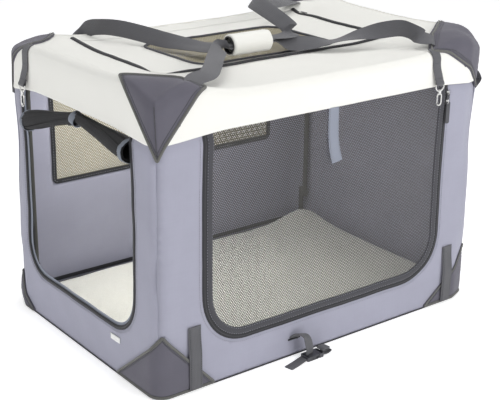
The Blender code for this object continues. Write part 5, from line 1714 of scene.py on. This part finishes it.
# %% [markdown]
# ## The holding strip
# A strip of lining cloth hangs from the band at the front doorway, to tie the rolled-up door. It
# is a thin swept tape with a row of stitches near each edge, and it drifts forward as it falls.
# %% The holding strip
low_strip, high_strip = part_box("hold_strip")
middle = (low_strip.x + high_strip.x) / 2
strip_y = high_strip.y + 0.0002
line = [(middle + 0.003, strip_y, high_strip.z + 0.010),
        (middle + 0.003, strip_y, high_strip.z - 0.03),
        (middle + 0.005, strip_y - 0.0006, high_strip.z - 0.064),
        (middle + 0.009, strip_y - 0.0024, high_strip.z - 0.090),
        (middle + 0.012, low_strip.y + 0.0016, low_strip.z)]
path = curve(line, 0.004)
out = np.tile(FRONT, (len(path), 1))
strip_tape = tape(high_strip.x - low_strip.x, 0.0014, 6, 0.0005)
strip_cloth = swept("hanging_strip", path, out, strip_tape, LINING, "hold_strip", "grey_cloth")
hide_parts("hold_strip")
for dx in (-0.0115, 0.0115):
    stitches("strip_thread", path + (dx, -0.0016, 0), out, THREAD, "hold_strip", 0.005, 0.0034)
print("holding strip:", len(path), "points")

# %% [markdown]
# ## The rolled-up end door
# The end door is unzipped, rolled up and tied under the band, so it makes two arms that open
# towards their ends. Each arm is a sheet wound round itself, so the open end shows its turns.
# Long shallow folds run along it, and a stitched band of wall cloth finishes its end.
# %% Rolls
ROLLED = ribbed("rolled_mesh", shade("101013"), 0.0030, 0.80, 0.35, sheen=0.0)
HEMMED = woven("hemmed_end", shade("7E848E"), uneven=0.12)
ROLL_X = HALF_X - 0.0055
TURNS, TURN_STEPS, ROLL_STEPS = 2.6, 30, 30
LAYER, FOLD_HIGH, FINE_FOLD = 0.0021, 0.0013, 0.0005


def wound(name, node, start, end, r_start, r_end, seed):
    """A sheet wound along a line in the left doorway; start and end are (y, z)."""
    rows = []
    for i in range(ROLL_STEPS + 1):
        t = i / ROLL_STEPS
        y, z = (start[k] + (end[k] - start[k]) * t for k in (0, 1))
        r = r_start + (r_end - r_start) * smooth(t, 0.0, 0.9) + 0.0006 * math.sin(9 * t)
        row = []
        for j in range(int(TURNS * TURN_STEPS) + 1):
            turn = 2 * math.pi * j / TURN_STEPS
            round_x, round_z = math.cos(turn), math.sin(turn)
            inward = LAYER * (turn / (2 * math.pi)) * r / r_end
            wave = FOLD_HIGH * drift([round_x * 2.2, round_z * 2.2, t * 0.5], 0.8, seed)
            wave += FINE_FOLD * drift([round_x * 5, round_z * 5, t * 1.2], 0.8, seed + 2)
            radius = r - inward + wave - 0.0008
            angle = turn + 0.9 * t + seed
            row.append((-ROLL_X + radius * math.cos(angle), y, z + radius * math.sin(angle)))
        rows.append(row)
    points, faces, sewn = woven_grid(rows)
    piece = cloth(name, points, faces, sewn, ROLLED, "top", thick=0.0007)
    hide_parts(node)
    last_turn = np.array(rows[-1][:TURN_STEPS])
    centre = np.array([-ROLL_X, end[0], end[1]])
    rim = centre + (last_turn - centre) * (1 + 0.0006 / r_end)
    away = rim - centre
    step = math.copysign(1.0, end[0] - start[0])
    swept(name + "_end", rim - (0, step * 0.0050, 0), away,
          [(-0.0055, 0.0), (0.0055, 0.0), (0.0055, 0.0012), (-0.0055, 0.0012)], HEMMED, "top",
          closed=True)
    seam = centre + (last_turn - centre) * 1.085
    stitches(name + "_thread", np.concatenate([seam, seam[:1]]) - (0, step * 0.0095, 0),
             np.concatenate([away, away[:1]]), THREAD, "top", 0.0042, 0.003)


wound("roll_back", "door_roll_back", (-0.018, 0.5265), (0.205, 0.469), 0.0125, 0.0225, 3)
wound("roll_front", "door_roll_front", (-0.022, 0.5265), (-0.2205, 0.507), 0.0125, 0.0240, 8)

# %% The mesh corner between the rolls, and the tie
GUSSET_X = -ROLL_X - 0.002
corner_points = [(0.020, 0.502), (-0.080, 0.528), (-0.020, 0.545)]
flat, faces = net([spaced(corner_points, 0.008)], 0.009)
cloth("door_corner", np.column_stack([np.full(len(flat), GUSSET_X), flat]), faces, flat, ROLLED,
      "top", thick=0.0008)
line = spaced(corner_points[:2], 0.006, closed=False)
line = np.column_stack([np.full(len(line), GUSSET_X), line])
swept("door_corner_edge", line, np.tile([-1.0, 0, 0], (len(line), 1)), cord(0.0015), BINDING,
      "top")
TIE_Y, TIE_Z = -0.014, 0.5225
turn = np.linspace(0, 2 * math.pi, 30, endpoint=False)
ring = np.column_stack([-ROLL_X + 0.0150 * np.cos(turn), TIE_Y - 0.012 * np.sin(turn) * 0.3,
                        TIE_Z + 0.0138 * np.sin(turn)])
away = ring - np.array([-ROLL_X, TIE_Y, TIE_Z])
tie_tape = [(-0.009, -0.0008), (0.009, -0.0008), (0.009, 0.0008), (-0.009, 0.0008)]
tie = swept("roll_tie", ring, away, tie_tape, HEMMED, "top", "webbing", closed=True)
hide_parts("door_roll_tie")
print("corner net:", len(flat), "points; tie:", len(ring), "steps")

# %% [markdown]
# ## The fleece mat
# The mat is a stuffed sheet of short-pile fleece. It starts as a thin slab, is swelled as cloth
# under pressure, and is then let down so that it lies flat below and has soft swells above.
# %% The mat's slab
MAT_IN, MAT_BEND = 0.010, 0.040
low_mat, high_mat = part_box("fleece_mat")
inner = inset_sides(low_mat.x, high_mat.x, low_mat.y, high_mat.y, MAT_IN)
outline = spaced(rounded(*inner, MAT_BEND, 10), 0.012)
flat, faces = net([outline], 0.013)
count, loop = len(flat), len(outline)
points = np.concatenate([np.column_stack([flat, np.full(count, z)])
                         for z in (high_mat.z - 0.0085, low_mat.z + 0.0030)])
rim = [(i, count + i, count + (i + 1) % loop, (i + 1) % loop) for i in range(loop)]
faces = [tuple(f) for f in faces] + [tuple(f[::-1] + count) for f in faces] + rim
mat = cloth("fleece_pad", points, faces, points, FLEECE, None)
print("mat slab:", len(points), "points")

MAT_VOXEL, MAT_PRESSURE, MAT_FRAMES, MAT_GROWS = 0.006, 4.0, 20, 0.006
remesh = mat.modifiers.new("remesh", "REMESH")
remesh.mode, remesh.voxel_size = "VOXEL", MAT_VOXEL
bpy.context.view_layer.objects.active = mat
mat.select_set(True)
bpy.ops.object.modifier_apply(modifier="remesh")
before = np.array([v.co for v in mat.data.vertices])
swell = mat.modifiers.new("swell", "CLOTH")
swell.settings.use_pressure = True
swell.settings.uniform_pressure_force = MAT_PRESSURE
swell.settings.effector_weights.gravity = 0
swell.settings.quality = 4
scene = bpy.context.scene
for k in range(1, MAT_FRAMES + 1):
    scene.frame_set(k)
grown = mat.evaluated_get(bpy.context.evaluated_depsgraph_get())
after = np.array([v.co for v in grown.data.vertices])
mat.modifiers.clear()
scene.frame_set(1)
moved = after - before
size = np.linalg.norm(moved, axis=1, keepdims=True)
after = before + moved * np.minimum(1, MAT_GROWS / np.maximum(size, 1e-9))
mat.data.vertices.foreach_set("co", after.astype(np.float32).ravel())
points = np.array([v.co for v in mat.data.vertices])
print("mat:", len(points), "points,", round(float(np.ptp(points[:, 2])), 4), "m thick")

# %% Swells, a fold and a curled corner
RIDGE_HIGH, RIDGE_WIDE, MAT_TALLEST = 0.006, 0.030, 0.010
CURL, CURL_REACH = 0.024, 0.085
high = smooth(points[:, 2], low_mat.z + 0.004, high_mat.z - 0.006)
flat = np.column_stack([points[:, :2], 0 * points[:, 0]])
edge = np.minimum(high_mat.x - np.abs(points[:, 0]), high_mat.y - np.abs(points[:, 1]))
ridge = bell(points[:, 0] * 0.85 - points[:, 1] * 0.5 - 0.10, RIDGE_WIDE)
swells = 0.0042 * drift(flat, 0.16, 41) + 0.0016 * drift(flat, 0.05, 42)
swells += RIDGE_HIGH * ridge * smooth(edge, 0.02, 0.12)
points[:, 2] = np.maximum(points[:, 2] + high * swells, low_mat.z + 0.0004)
points[:, 2] = np.minimum(points[:, 2], high_mat.z + MAT_TALLEST)
to_corner = np.hypot(points[:, 0] - high_mat.x + 0.045, points[:, 1] - high_mat.y + 0.01)
points[:, 2] += CURL * bell(to_corner, CURL_REACH)
points[:, 0] = np.clip(points[:, 0], low_mat.x, high_mat.x)
points[:, 1] = np.clip(points[:, 1], low_mat.y, high_mat.y)
mat.data.vertices.foreach_set("co", points.astype(np.float32).ravel())
mat.data.update()
mat.data.shade_smooth()
place = mat.data.attributes.get("sewn") or mat.data.attributes.new("sewn", "FLOAT_VECTOR", "POINT")
place.data.foreach_set("vector", points.astype(np.float32).ravel())
soften = mat.modifiers.new("finer", "SUBSURF")
soften.levels = soften.render_levels = 1
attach(mat, "fleece_mat")
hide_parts("fleece_mat")
print("mat's highest point:", round(float(points[:, 2].max()), 4), "m")
